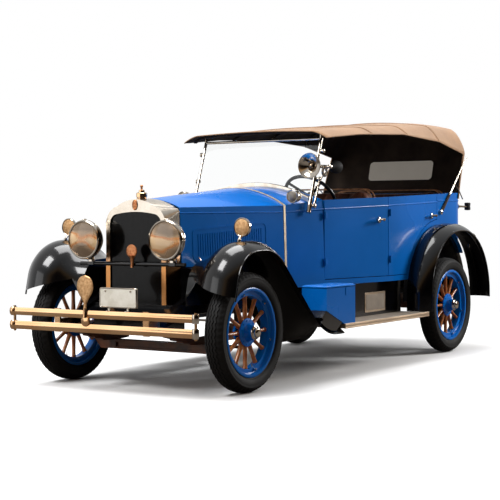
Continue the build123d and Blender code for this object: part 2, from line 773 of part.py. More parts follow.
core_outline = opening & block((-400, 400), (RADIATOR_FRONT + 28, HOOD_FRONT - 20), (RADIATOR_BOTTOM, 1300))
parts["radiator_core"] = core_outline

# Headlamps on posts over a tie bar
lamp_outline = [
    (0, 0),
    (LAMP_RADIUS - 8, 0),
    (LAMP_RADIUS, 8),
    (LAMP_RADIUS, 26),
    (LAMP_RADIUS - 8, 34),
]
lamp_edges = [
    *Polyline(*[(r, LAMP_FRONT + y, 0) for r, y in lamp_outline]).edges(),
    ThreePointArc(
        (LAMP_RADIUS - 8, LAMP_FRONT + 34, 0), (LAMP_RADIUS * 0.68, LAMP_FRONT + 100, 0), (
            18,
            LAMP_FRONT + LAMP_DEPTH,
            0,
        )
    ),
    Line((18, LAMP_FRONT + LAMP_DEPTH, 0), (0, LAMP_FRONT + LAMP_DEPTH, 0)),
    Line((0, LAMP_FRONT + LAMP_DEPTH, 0), (0, LAMP_FRONT, 0)),
]
lamp = revolve(make_face(Wire(lamp_edges)), axis=Axis.Y, revolution_arc=360)
lamp = Pos(LAMP_X, 0, LAMP_Z) * lamp
lamp_post = rod((LAMP_X, BAR_Y, BAR_Z + 13), (LAMP_X, BAR_Y, LAMP_Z - 60), 15)
parts["headlamps"] = pair(lamp + lamp_post)
bar = rod((-FENDER_INNER, BAR_Y, BAR_Z), (FENDER_INNER, BAR_Y, BAR_Z), 13)
for sign in (-1, 1):
    bar += block(
        (sign * LAMP_X - 24, sign * LAMP_X + 24),
        (BAR_Y - 18, BAR_Y + 18),
        (BAR_Z - 8, BAR_Z + 13),
    )
parts["lamp_bar"] = bar

# Front bumper: two ridged bars with rolled eyes, a pin through each pair, and two brackets with arms
BUMPER_Y = -FRONT_OVERHANG + 6
bumper_pins = [
    rod((x, BUMPER_Y + 12, BUMPER_ROWS[0][0] - 13), (x, BUMPER_Y + 12, BUMPER_ROWS[1][1] + 12), BUMPER_PIN)
    for x in (-BUMPER_HALF, BUMPER_HALF)
]
bumper_bars = []
for low, high in BUMPER_ROWS:
    middle = (low + high) / 2
    ridged = [
        (BUMPER_Y + 6, low),
        (BUMPER_Y + 6, high),
        (BUMPER_Y - 1, high),
        (BUMPER_Y - 6, middle),
        (BUMPER_Y - 1, low),
    ]
    flat = side_plate(ridged, (-BUMPER_HALF, BUMPER_HALF))
    for x in (-BUMPER_HALF, BUMPER_HALF):
        flat += Pos(x, BUMPER_Y + 12, middle) * Cylinder(BUMPER_EYE, high - low)
    for pin in bumper_pins:
        flat -= pin
    bumper_bars.append(flat)
bumper_brackets = []
for x in (-BRACKET_X, BRACKET_X):
    bracket = block(
        (x - 22, x + 22),
        (BUMPER_Y + 6, BUMPER_Y + 20),
        (BUMPER_ROWS[0][0] - 5, BUMPER_ROWS[1][1] + 5),
    )
    bracket += block((x - 22, x + 22), (BUMPER_Y + 14, RAIL_FRONT), (440, 476))
    bumper_brackets.append(bracket)
parts["front_bumper"] = group(*bumper_bars, *bumper_pins, *bumper_brackets)

# Number plate, left blank, on two stays from the bumper
plate = block((-10, 282), (-560, -556), (560, 683))
for x in (60.0, 210.0):
    plate += block((x - 6, x + 6), (-566, -560), (536, 660))
    plate += block((x - 6, x + 6), (BUMPER_Y - 6, -560), (536, 540))
for x in (36.0, 236.0):
    plate -= rod((x, -570, 665), (x, -540, 665), 3.5)
parts["number_plate"] = plate

# Front fenders: crowned strip swept from the front tip over the wheel and down to the running board
fender_path_points = [
    (-385.0, 620.0),
    (-300.0, FENDER_TOP - 5),
    (170.0, FENDER_TOP + 12),
    (800.0, BOARD_TOP),
    (BOARD_START, BOARD_TOP),
]
fender_bends = [300.0, 400.0, 350.0]


def roll_middle(width, drop):
    """Middle point of an arc that leaves the crown level and ends at the given width and drop."""
    radius = (width**2 + drop**2) / (2 * drop)
    half_turn = math.asin(width / radius) / 2
    return (FENDER_CROWN_X + radius * math.sin(half_turn), radius * (1 - math.cos(half_turn)))


def fender_section(inner_x, shoulder, thick):
    """Crowned section in the path's plane: X across, Y towards the wheel. The inner flank
    falls convex to the shoulder (width, drop), then runs hollow to the inner edge."""
    out = FENDER_OUTER
    roll_out = roll_middle(out - FENDER_CROWN_X, FENDER_LIP)
    roll_in = roll_middle(out - thick - FENDER_CROWN_X, FENDER_LIP - thick)
    edges = [
        ThreePointArc((out, FENDER_LIP), roll_out, (FENDER_CROWN_X, 0)),
        ThreePointArc((out - thick, FENDER_LIP), (roll_in[0], roll_in[1] + thick), (FENDER_CROWN_X, thick)),
        Line((out - thick, FENDER_LIP), (out, FENDER_LIP)),
    ]
    width, drop = shoulder
    bend = roll_middle(width, drop)
    mid = (2 * FENDER_CROWN_X - bend[0], bend[1])
    turn = (FENDER_CROWN_X - width, drop)
    end = (inner_x, drop + flank_drop(inner_x, shoulder))
    if turn[0] - inner_x < 2:
        end = turn
    for lift in (0, thick):
        edges.append(
            ThreePointArc((FENDER_CROWN_X, lift), (mid[0], mid[1] + lift), (turn[0], turn[1] + lift)),
        )
        if end != turn:
            slope = 2 * math.atan2(drop, width)
            quarter = ((turn[0] + end[0]) / 2, (turn[1] + end[1]) / 2)
            chord = math.hypot(turn[0] - end[0], end[1] - turn[1])
            sag = chord / 2 * math.tan((slope - math.atan2(end[1] - turn[1], turn[0] - end[0])) / 2)
            lean = math.atan2(end[1] - turn[1], turn[0] - end[0])
            hollow = (quarter[0] - sag * math.sin(lean), quarter[1] + sag * math.cos(lean) + lift)
            edges.append(ThreePointArc((turn[0], turn[1] + lift), hollow, (end[0], end[1] + lift)))
    edges.append(Line(end, (end[0], end[1] + thick)))
    return make_face(Wire(edges))


def flank_drop(inner_x, shoulder):
    """Drop of the inner flank's hollow, which leaves the shoulder on its slope and ends nearly level."""
    width, drop = shoulder
    slope = 2 * math.atan2(drop, width)
    run = FENDER_CROWN_X - width - inner_x
    return run * math.tan((slope + math.radians(5)) / 2)


def fender_path(points, bends):
    """Crown line of a fender in the plane X = 0."""
    return FilletPolyline(*[(0, y, z) for y, z in points], radius=bends)


def swept_fender(path, inner_x, shoulder):
    """Fender strip along a crown line."""
    start = Plane(origin=path @ 0, x_dir=(1, 0, 0), z_dir=path % 0)
    return sweep(start * fender_section(inner_x, shoulder, SHEET), path=path)


front_path = fender_path(fender_path_points, fender_bends)
front_fender = swept_fender(front_path, FENDER_INNER, FENDER_SHOULDER)
tip_cut = [(300, 500), (FENDER_OUTER + 5, 500), (FENDER_OUTER + 5, 626), (FENDER_INNER, 735), (300, 735)]
front_fender -= front_plate(tip_cut, (-440, -250))

# Inner skirt under the fender's inner edge, and the ledge from it to the hood
edge_drop = FENDER_SHOULDER[1] + flank_drop(FENDER_INNER, FENDER_SHOULDER) + SHEET / 2
skirt_line = []
for step in range(61):
    spot = front_path @ (step / 60)
    along = front_path % (step / 60)
    point = (spot.Y + edge_drop * along.Z, spot.Z - edge_drop * along.Y)
    if point[1] > SKIRT_BOTTOM + 5 and point[0] > -255:
        skirt_line.append(point)
skirt_points = [(skirt_line[0][0], SKIRT_BOTTOM), *skirt_line, (skirt_line[-1][0], SKIRT_BOTTOM)]
skirt = side_plate(skirt_points, (FENDER_INNER, FENDER_INNER + SHEET))
ledge_end = (FENDER_INNER - SIDE_START) / SIDE_TAPER
ledge_points = [
    (side_x(HOOD_FRONT) - 3, HOOD_FRONT),
    (FENDER_INNER + SHEET, HOOD_FRONT),
    (FENDER_INNER + SHEET, ledge_end),
    (FENDER_INNER - 3, ledge_end),
]
ledge_top = HOOD_BOTTOM - 6
ledge = plan_plate(ledge_points, (ledge_top - SHEET, ledge_top))
curb_points = [
    (HOOD_FRONT, SKIRT_BOTTOM),
    (HOOD_FRONT, ledge_top),
    (ledge_end, ledge_top),
    (ledge_end, SKIRT_BOTTOM),
]
curb = side_plate(curb_points, (FENDER_INNER, FENDER_INNER + SHEET))
front_fender += skirt + curb + ledge
parts["front_fenders"] = pair(front_fender)

# Rear fenders
rear_path_points = [
    (WHEELBASE - REAR_ARCH_RADIUS - 20, BOARD_TOP),
    (WHEELBASE - REAR_ARCH_RADIUS, REAR_ARCH_Z + REAR_ARCH_RADIUS),
    (WHEELBASE + REAR_ARCH_RADIUS + 20, REAR_ARCH_Z + REAR_ARCH_RADIUS),
    (WHEELBASE + REAR_ARCH_RADIUS + 30, REAR_ARCH_Z - 30),
]
rear_path = fender_path(rear_path_points, [590.0, 590.0])
rear_fender = swept_fender(rear_path, BODY_HALF_WIDTH + 1, (FENDER_CROWN_X - BODY_HALF_WIDTH - 1, 18.0))
parts["rear_fenders"] = pair(rear_fender)

# Running boards and the aprons above them
board_end = WHEELBASE - REAR_ARCH_RADIUS - 24
board = block((BOARD_INNER, FENDER_OUTER), (BOARD_START, board_end), (BOARD_TOP - BOARD_THICK, BOARD_TOP))
for y in (1250.0, 2150.0):
    board += block(
        (rail_outer, BOARD_INNER + 60),
        (y - 20, y + 20),
        (BOARD_TOP - BOARD_THICK - 14, BOARD_TOP - BOARD_THICK),
    )
    board += block(
        (rail_outer, rail_outer + 8),
        (y - 20, y + 20),
        (BOARD_TOP - BOARD_THICK - 14, RAIL_BOTTOM + 60),
    )
parts["running_boards"] = pair(board)
apron = block(
    (BOARD_INNER - SHEET, BOARD_INNER),
    (BOARD_START, board_end),
    (BOARD_TOP - BOARD_THICK, SILL_BOTTOM - SHEET),
)
apron += block((rail_outer, BOARD_INNER), (BOARD_START, board_end), (SILL_BOTTOM - SHEET, SILL_BOTTOM))
shield_rear = cross_rows[0][1] - cross_rows[0][2]
shield_profile = [(shield_rear, 545), (shield_rear, 541), (-380, 489), (-380, 493)]
shield = side_plate(shield_profile, (-RAIL_INSIDE, RAIL_INSIDE))
parts["splash_aprons"] = group(*pair(apron).solids(), shield)

# Toolbox on the left running board
box_profile = [
    (BOX_Y[0], 480),
    (BOX_Y[0], BOX_TOP - 14),
    (BOX_Y[1], BOX_TOP - 14),
    (BOX_Y[1], BOARD_TOP),
    (1060, BOARD_TOP),
]
toolbox = side_plate(box_profile, BOX_X)
hollow_profile = [
    (BOX_Y[0] + 3, 484),
    (BOX_Y[0] + 3, BOX_TOP),
    (BOX_Y[1] - 3, BOX_TOP),
    (BOX_Y[1] - 3, BOARD_TOP + 4),
    (1062, BOARD_TOP + 4),
]
toolbox -= side_plate(hollow_profile, (BOX_X[0] + 3, BOX_X[1] - 3))
lid = block((BOX_X[0], BOX_X[1] + 2), (BOX_Y[0] - 2, BOX_Y[1] + 2), (BOX_TOP - 9, BOX_TOP - 4))
lid_top = Rectangle(BOX_X[1] - BOX_X[0], BOX_Y[1] - BOX_Y[0])
lid_middle = Pos((BOX_X[0] + BOX_X[1]) / 2, (BOX_Y[0] + BOX_Y[1]) / 2, BOX_TOP - 4)
lid += lid_middle * extrude(lid_top, amount=10, taper=55)
latch_y = (BOX_Y[0] + BOX_Y[1]) / 2 + 70
toolbox += block((BOX_X[1], BOX_X[1] + 4), (latch_y - 9, latch_y + 9), (BOX_TOP - 70, BOX_TOP - 14))
parts["toolbox"] = toolbox
parts["toolbox_lid"] = lid


# Doors: plan outline of the tapering side, trimmed to a side-view outline
def side_wall(y0, y1, thick, z, set_in=0.0):
    """Slab along the body side between two stations."""
    stations = [y0]
    knee = (BODY_HALF_WIDTH - SIDE_START) / SIDE_TAPER
    if y0 < knee < y1:
        stations.append(knee)
    stations.append(y1)
    outline = [(side_x(y) - set_in, y) for y in stations]
    outline += [(side_x(y) - set_in - thick, y) for y in reversed(stations)]
    return plan_plate(outline, z)


knee_y = (BODY_HALF_WIDTH - SIDE_START) / SIDE_TAPER


def door(y0, y1):
    """Door slab with its sloping top edge."""
    slab = side_wall(y0, y1, DOOR_THICK, (DOOR_BOTTOM, 1500))
    outline = [(y0, DOOR_BOTTOM), (y1, DOOR_BOTTOM), (y1, belt_z(y1)), (y0, belt_z(y0))]
    panel = slab & side_plate(outline, (300, 800))
    stations = [y0 + 0.5, *[y for y in (knee_y,) if y0 < y < y1], y1 - 0.5]
    for start, end in zip(stations, stations[1:]):
        a = (side_x(start) + BELT_OUT, start, belt_z(start) - BELT_DROP)
        b = (side_x(end) + BELT_OUT, end, belt_z(end) - BELT_DROP)
        panel += rod(a, b, BELT_RADIUS)
    return panel


def handle(y, z):
    """Lever handle on a round plate."""
    x = side_x(y) - 1
    lever = rod((x, y, z), (x + 8, y, z), 19)
    lever += rod((x, y, z), (x + 40, y, z), 7)
    lever += rod((x + 36, y + 12, z), (x + 36, y - 95, z), 7)
    return lever


def hinge_barrels(x, y, face_y, heights):
    """Two barrels outside the body side, with a leaf back to the door."""
    barrels = None
    for z in heights:
        barrel = rod((x, y, z - 28), (x, y, z + 28), BARREL_RADIUS)
        barrel += block((x - 2, x), (y, face_y + 10), (z - 20, z + 20))
        barrel += block((x - HINGE_OUT - 4, x), (face_y, face_y + 34), (z - 20, z + 20))
        barrels = barrel if barrels is None else barrels + barrel
    return barrels


front_hinge_x = side_x(COWL_REAR) + HINGE_OUT
front_hinge_y = COWL_REAR - 3
rear_hinge_x = BODY_HALF_WIDTH + HINGE_OUT
rear_hinge_y = DOOR_SPLIT + 13
front_door = door(COWL_REAR + PANEL_GAP, DOOR_SPLIT - PANEL_GAP / 2) + handle(2000, 1095)
front_door += hinge_barrels(front_hinge_x, front_hinge_y, COWL_REAR + PANEL_GAP, (790, 1130))
rear_door = door(DOOR_SPLIT + PANEL_GAP / 2, REAR_DOOR_END)
rear_door += hinge_barrels(rear_hinge_x, rear_hinge_y, rear_hinge_y - 4, (790, 1150))
arch_cut = rod(
    (500, WHEELBASE, REAR_ARCH_Z),
    (800, WHEELBASE, REAR_ARCH_Z),
    REAR_ARCH_RADIUS + ARCH_BAND + PANEL_GAP,
)
rear_door = rear_door - arch_cut + handle(2880, 1122)
parts["left_front_door"] = front_door
parts["right_front_door"] = other_side(front_door)
parts["left_rear_door"] = rear_door
parts["right_rear_door"] = other_side(rear_door)

# Body tub: rounded rear, arch bands, sills and door posts
tub_start = REAR_DOOR_END + PANEL_GAP


def rounded_plan(half, rear, corner, z, front):
    """Closed plan with two rounded rear corners at a height."""
    k = corner * (1 - math.sqrt(0.5))
    edges = [
        Line((half, front, z), (half, rear - corner, z)),
        ThreePointArc((half, rear - corner, z), (half - k, rear - k, z), (half - corner, rear, z)),
        Line((half - corner, rear, z), (-half + corner, rear, z)),
        ThreePointArc((-half + corner, rear, z), (-half + k, rear - k, z), (-half, rear - corner, z)),
        Line((-half, rear - corner, z), (-half, front, z)),
        Line((-half, front, z), (half, front, z)),
    ]
    return make_face(Wire(edges))


def tub_prism(inset):
    """Upright prism of the rear body's plan, inset from its skin."""
    plan = rounded_plan(BODY_HALF_WIDTH - inset, BODY_REAR - inset, BODY_CORNER - inset, SILL_BOTTOM, 2380.0)
    return extrude(plan, amount=900, dir=(0, 0, 1))


tub = tub_prism(0) - tub_prism(WALL)
tub_side = [
    (tub_start, SILL_BOTTOM),
    (tub_start, belt_z(tub_start)),
    (BODY_REAR + 50, belt_z(BODY_REAR + 50)),
    (BODY_REAR + 50, SILL_BOTTOM),
]
tub_keep = side_plate(tub_side, (-800, 800))
band = rod((-800, WHEELBASE, REAR_ARCH_Z), (800, WHEELBASE, REAR_ARCH_Z), REAR_ARCH_RADIUS + ARCH_BAND)
tub_keep += band & block((-800, 800), (2380, 3700), (SILL_BOTTOM, 1300))
tub = tub & tub_keep
tub -= rod((-800, WHEELBASE, REAR_ARCH_Z), (800, WHEELBASE, REAR_ARCH_Z), REAR_ARCH_RADIUS - 8)
house = rod((575, WHEELBASE, REAR_ARCH_Z), (655, WHEELBASE, REAR_ARCH_Z), REAR_ARCH_RADIUS - 4)
house -= rod((585, WHEELBASE, REAR_ARCH_Z), (660, WHEELBASE, REAR_ARCH_Z), REAR_ARCH_RADIUS - 12)
house = house & block((500, 700), (2300, BODY_REAR - 60), (SILL_BOTTOM, 1200))
tub += house
tub += other_side(house)
sill_end = WHEELBASE - 590
sill = side_wall(COWL_REAR + 1, sill_end, 60, (SILL_BOTTOM, DOOR_BOTTOM - PANEL_GAP))
post = block(
    (POST_X, BODY_HALF_WIDTH - DOOR_THICK - 12),
    (DOOR_SPLIT - 30, DOOR_SPLIT + 30),
    (SILL_BOTTOM, belt_z(DOOR_SPLIT) - 5),
)
tub += sill + post
tub += other_side(sill + post)
belt_high = belt_z(BODY_REAR - BODY_CORNER) - BELT_DROP
belt_x = BODY_HALF_WIDTH + BELT_OUT
belt_y = BODY_REAR + BELT_OUT
belt_points = [
    (belt_x, tub_start + 1, belt_high),
    (belt_x, belt_y, belt_high),
    (-belt_x, belt_y, belt_high),
    (-belt_x, tub_start + 1, belt_high),
]
tub += pipe(belt_points, BELT_RADIUS, BODY_CORNER + BELT_OUT)
parts["body_tub"] = tub

# Floor boards on the frame, with a step up under the rear seat
floor_low = FLOOR_TOP - FLOOR_THICK
rear_half = 574.0
floor_half = [
    (FLOOR_HALF, 1250),
    (side_x(COWL_REAR) - 61, COWL_REAR),
    (BODY_HALF_WIDTH - 61, knee_y),
    (BODY_HALF_WIDTH - 61, sill_end - 10),
    (rear_half, sill_end - 10),
    (rear_half, FLOOR_STEP_Y),
]
floor_outline = floor_half + [(-x, y) for x, y in reversed(floor_half)]
floor = plan_plate(floor_outline, (floor_low, FLOOR_TOP))
toe_low = (1250, FLOOR_TOP)
toe_high = (cowl_front + 6, 850)
toe_board = [toe_low, toe_high, (toe_high[0], toe_high[1] - FLOOR_THICK), (toe_low[0], floor_low)]
floor += side_plate(toe_board, (-410, 410))
for sign in (-1, 1):
    notch_x = sorted((sign * (POST_X - 1), sign * BODY_HALF_WIDTH))
    floor -= block(notch_x, (DOOR_SPLIT - 31, DOOR_SPLIT + 31), (floor_low - 1, FLOOR_TOP + 1))
step_face = (FLOOR_STEP_Y - FLOOR_THICK, FLOOR_STEP_Y)
step_top = FLOOR_TOP + FLOOR_STEP
floor += block((-rear_half, rear_half), step_face, (floor_low, step_top))
floor += block((-rear_half, rear_half), (step_face[0], 3480), (step_top - FLOOR_THICK, step_top))
parts["floor"] = floor

# Windscreen: raked posts beside the cowl, curved bottom rail, top rail and one pane
screen_lean = math.degrees(math.atan2(SCREEN_TOP[0] - SCREEN_FOOT[0], SCREEN_TOP[1] - SCREEN_FOOT[1]))
post_left = rod((SCREEN_X, SCREEN_FOOT[0], SCREEN_FOOT[1]), (SCREEN_X, SCREEN_TOP[0], SCREEN_TOP[1]), 12)
lean = math.radians(screen_lean)
pane_plane = Plane(
    origin=(0, SCREEN_TOP[0], SCREEN_TOP[1]),
    x_dir=(1, 0, 0),
    z_dir=(0, math.cos(lean), -math.sin(lean)),
)
rail_ends = (SCREEN_TOP[1] - RAIL_SIDE_Z) / math.cos(lean)
rail_middle = (SCREEN_TOP[1] - RAIL_CROWN_Z) / math.cos(lean)
rail_arc = ThreePointArc((-SCREEN_X, rail_ends), (0, rail_middle), (SCREEN_X, rail_ends))
lower_rail = sweep(Plane(origin=rail_arc @ 0, z_dir=rail_arc % 0) * Circle(RAIL_RADIUS), path=rail_arc)
screen_frame = post_left + other_side(post_left)
screen_frame += rod((-SCREEN_X, *SCREEN_TOP), (SCREEN_X, *SCREEN_TOP), RAIL_RADIUS)
screen_frame += pane_plane * lower_rail
parts["windscreen_frame"] = screen_frame
pane_edges = [
    rail_arc,
    Line((SCREEN_X, rail_ends), (SCREEN_X, 0)),
    Line((SCREEN_X, 0), (-SCREEN_X, 0)),
    Line((-SCREEN_X, 0), (-SCREEN_X, rail_ends)),
]
pane = pane_plane * extrude(make_face(Wire(pane_edges)), amount=3, both=True) - screen_frame
pane = pane.solids().sort_by(SortBy.VOLUME)[-1]
parts["windscreen_glass"] = pane

# Steering column and wheel
axis_run = Vector(*WHEEL_CENTRE) - Vector(*COLUMN_FOOT)
axis_dir = axis_run.normalized()
column_top = Vector(*WHEEL_CENTRE) - axis_dir * 24
shaft_top = Vector(*WHEEL_CENTRE) + axis_dir * 6
column = rod(COLUMN_FOOT, tuple(column_top), 19)
column += rod(COLUMN_FOOT, tuple(shaft_top), 10)
under_toe = [toe_low, toe_high, (900, toe_high[1]), (900, 500), (toe_low[0], 500)]
parts["steering_column"] = column - side_plate(under_toe, (100, 500))
wheel_plane = Plane(origin=WHEEL_CENTRE, x_dir=(1, 0, 0), z_dir=tuple(axis_dir))
rim = Torus(200, 13)
hub = Cylinder(34, 36)
steering = rim + hub
for step in range(4):
    steering += Rot(Z=45 + 90 * step) * Pos(108, 0, 0) * Box(180, 20, 8)
steering -= Pos(0, 0, -8) * Cylinder(10 + RUNNING_CLEARANCE, 32)
parts["steering_wheel"] = wheel_plane * steering

# Seats
front_seat = block((-500, 500), (1610, 2110), (FLOOR_TOP, 900))
front_seat += block((-500, 500), (1590, 2090), (900, 1030))
back = side_plate([(2000, 1030), (2130, 1030), (2250, 1335), (2150, 1340)], (-520, 520))
parts["front_seat"] = front_seat + back
rear_seat = block((-540, 540), (2790, 3270), (FLOOR_TOP + FLOOR_STEP, 900))
rear_seat += block((-540, 540), (2760, 3270), (900, 1030))
rear_back = side_plate([(3220, 1030), (3400, 1030), (3500, 1345), (3380, 1350)], (-540, 540))
parts["rear_seat"] = rear_seat + rear_back

# Soft top: crowned sections along the car


def top_face(row, inset):
    """Closed bow-shaped section of the soft top."""
    station, half, edge, crown = row
    roll = half - 55
    lift = crown - 0.38 * (crown - edge) - inset

    def spot(x, z):
        return (x, station, z)

    h = half - inset
    edges = [
        ThreePointArc(spot(roll, lift), spot(0, crown - inset), spot(-roll, lift)),
        ThreePointArc(spot(-roll, lift), spot(-h + 14, (lift + edge) / 2 + 12), spot(-h, edge)),
        Line(spot(-h, edge), spot(h, edge)),
        ThreePointArc(spot(h, edge), spot(h - 14, (lift + edge) / 2 + 12), spot(roll, lift)),
    ]
    return make_face(Wire(edges))


top_outer = loft([top_face(row, 0) for row in TOP_ROWS], ruled=True)
last = TOP_ROWS[-1]
inner_rows = [*TOP_ROWS[:-1], (last[0] - TOP_THICK, *last[1:])]
top_inner = loft([top_face(row, TOP_THICK) for row in inner_rows], ruled=True)
parts["soft_top"] = top_outer - top_inner

# Back curtain with its window
def wrap_solid(inset):
    """Body of the back curtain from the body's top edge up to the soft top, inset from its skin."""
    low_half = BODY_HALF_WIDTH + WRAP_OUT - inset
    low = rounded_plan(
        low_half,
        BODY_REAR + WRAP_OUT - inset,
        BODY_CORNER + WRAP_OUT - inset,
        WRAP_BOTTOM,
        3300.0,
    )
    high = rounded_plan(WRAP_HALF - inset, WRAP_REAR - inset, WRAP_CORNER - inset, WRAP_TOP, 3300.0)
    return loft([low, high], ruled=True)


wrap_ahead = [
    (3200, 1200),
    (WRAP_FRONT, 1200),
    (WRAP_FRONT, WRAP_BOTTOM),
    (WRAP_LEAN, WRAP_TOP + 5),
    (3200, WRAP_TOP + 5),
]
curtain = wrap_solid(0) - wrap_solid(WRAP_WALL) - side_plate(wrap_ahead, (-800, 800))
window = block((-312, 312), (3500, 3800), (1430, 1605))
curtain_body = curtain - window
pane_inner = curtain & window
parts["back_curtain"] = curtain_body
parts["back_window"] = pane_inner

# Top irons: bows under the cloth, struts from the body side and rests for the folded top
strut = rod((674, 3035, 1150), (666, 3560, 1625), 8)
strut += rod((660, 3035, 1150), (682, 3035, 1150), 14)
rest = rod((REST_X, BODY_REAR - 70, REST_Z), (REST_X, BODY_REAR + 180, REST_Z), 9)
rest += rod((REST_X, BODY_REAR + 165, REST_Z - 32), (REST_X, BODY_REAR + 165, REST_Z + 32), 26)
rest -= tub_prism(0)


def bow(row):
    """Flat wooden bow that fits under the cloth at a station."""
    outer_part = extrude(top_face(row, TOP_THICK - 3), amount=BOW_WIDTH / 2, both=True)
    inner_part = extrude(top_face(row, TOP_THICK + BOW_THICK), amount=BOW_WIDTH / 2 + 1, both=True)
    return outer_part - inner_part - parts["soft_top"]


def between_rows(station):
    """Section values of the soft top at a station, between two rows."""
    for low_row, high_row in zip(TOP_ROWS, TOP_ROWS[1:]):
        if low_row[0] <= station <= high_row[0]:
            share = (station - low_row[0]) / (high_row[0] - low_row[0])
            return tuple(a + share * (b - a) for a, b in zip(low_row, high_row))
    raise ValueError("station outside the soft top")


bows = [bow(between_rows(station)) for station in BOW_STATIONS]
header_row = between_rows(BOW_STATIONS[0])
header_rise = header_row[3] - 0.38 * (header_row[3] - header_row[2]) - TOP_THICK - BOW_THICK
for sign in (-1, 1):
    stub_x = sorted((sign * (SCREEN_X - 14), sign * (SCREEN_X + 14)))
    stub = block(stub_x, (SCREEN_TOP[0] - 12, SCREEN_TOP[0] + 12), (SCREEN_TOP[1] - 4, header_rise + 20))
    bows[0] += stub - parts["windscreen_frame"] - parts["soft_top"]
parts["top_irons"] = group(*pair(strut).solids(), *pair(rest).solids(), *bows)

# Cowl lamps
cowl_bullet = [
    Line((0, -60, 0), (COWL_LAMP_RADIUS - 5, -60, 0)),
    Line((COWL_LAMP_RADIUS - 5, -60, 0), (COWL_LAMP_RADIUS, -54, 0)),
    Line((COWL_LAMP_RADIUS, -54, 0), (COWL_LAMP_RADIUS, -44, 0)),
    ThreePointArc((COWL_LAMP_RADIUS, -44, 0), (COWL_LAMP_RADIUS * 0.72, 20, 0), (0, 62, 0)),
    Line((0, 62, 0), (0, -60, 0)),
]
cowl_lamp = Pos(COWL_LAMP_X, COWL_LAMP_Y, COWL_LAMP_Z) * revolve(make_face(Wire(cowl_bullet)), axis=Axis.Y)
lamp_foot = rod(
    (COWL_LAMP_X, COWL_LAMP_Y, COWL_LAMP_Z),
    (COWL_LAMP_X - 40, COWL_LAMP_Y, COWL_LAMP_Z - 52),
    11,
)
cowl_lamp += lamp_foot - outer
parts["cowl_lamps"] = pair(cowl_lamp)

# Fender mirrors
mirror_stalk = rod((720, -70, 974.8), (720, -70, 982), 13) + rod((720, -70, 980), (720, -30, 1010), 6)
mirror_disc = rod((720, -36, 1060), (720, -22, 1060), 60)
parts["fender_mirrors"] = pair(mirror_stalk + mirror_disc)

# Bulb horn on the left windscreen post
bell_wall = 3.0
bell_edges = [
    ThreePointArc((HORN_MOUTH, 1083, 0), (30, 1120, 0), (14, 1205, 0)),
    Line((14, 1205, 0), (14 - bell_wall, 1205, 0)),
    ThreePointArc(
        (14 - bell_wall, 1205, 0),
        (30 - bell_wall, 1118, 0),
        (HORN_MOUTH - 1, 1083 - bell_wall, 0),
    ),
    Line((HORN_MOUTH - 1, 1083 - bell_wall, 0), (HORN_MOUTH, 1083, 0)),
]
horn = Pos(HORN_X, 0, HORN_Z) * revolve(make_face(Wire(bell_edges)), axis=Axis.Y)
horn += rod((HORN_X, 1200, HORN_Z), (HORN_X, 1425, HORN_Z), 12)
horn += Pos(HORN_X, 1465, HORN_Z) * Sphere(46)
clamp_y = SCREEN_FOOT[0] + (HORN_Z - SCREEN_FOOT[1]) * math.tan(math.radians(screen_lean))
horn += block((SCREEN_X, HORN_X), (clamp_y - 20, clamp_y + 20), (HORN_Z - 12, HORN_Z + 12))
horn -= rod(
    (SCREEN_X, SCREEN_FOOT[0], SCREEN_FOOT[1]),
    (SCREEN_X, SCREEN_TOP[0], SCREEN_TOP[1]),
    12 + RUNNING_CLEARANCE,
)
parts["bulb_horn"] = horn

# Tail lamp on the left rear fender
tail_lamp = rod((720, 3470, 932), (720, 3545, 932), 38) + rod((720, 3490, 850), (720, 3490, 900), 10)
parts["tail_lamp"] = tail_lamp - rear_fender

# Levers and pedals
gear_lever = rod((0, 1290, FLOOR_TOP), (0, 1290, FLOOR_TOP + 40), 34)
gear_lever += rod((0, 1290, FLOOR_TOP + 30), (30, 1400, 1040), 8)
gear_lever += Pos(30, 1400, 1050) * Sphere(20)
brake_lever = block((96, 112), (1262, 1330), (FLOOR_TOP, FLOOR_TOP + 30))
brake_lever += rod((104, 1300, FLOOR_TOP + 20), (104, 1360, 1020), 9)
pedals = []
for x in (200.0, 290.0, 375.0):
    pad_y = 1130.0
    arm = rod((x, 985, 700), (x, pad_y, 800), 8) + block((x - 28, x + 28), (pad_y - 6, pad_y + 6), (780, 850))
    pedals.append(arm - side_plate(under_toe, (100, 500)))
parts["levers"] = group(gear_lever, brake_lever, *pedals)

for name, shape in parts.items():
    export_step(Pos(0, shift, 0) * shape, f"parts/{name}.step")
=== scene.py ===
"""Looks of a vintage touring car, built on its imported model: materials, cloth, leather, trim and a studio."""

import json
import math

import bmesh
import bpy
from mathutils import Matrix, Vector


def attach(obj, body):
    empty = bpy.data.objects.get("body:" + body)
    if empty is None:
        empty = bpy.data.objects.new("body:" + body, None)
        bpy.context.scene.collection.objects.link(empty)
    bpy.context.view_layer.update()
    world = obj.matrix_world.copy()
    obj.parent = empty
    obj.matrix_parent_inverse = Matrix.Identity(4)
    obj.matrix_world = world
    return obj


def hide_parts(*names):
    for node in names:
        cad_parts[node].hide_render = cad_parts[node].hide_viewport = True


bl_info = {
    "name": "Vintage touring car",
    "version": (1, 0, 0),
    "blender": (4, 5, 0),
    "location": "3D View > Sidebar > Touring car",
    "description": "Builds the finish, soft top, seats, tyres and trim of a vintage touring car",
    "category": "Add Mesh",
}

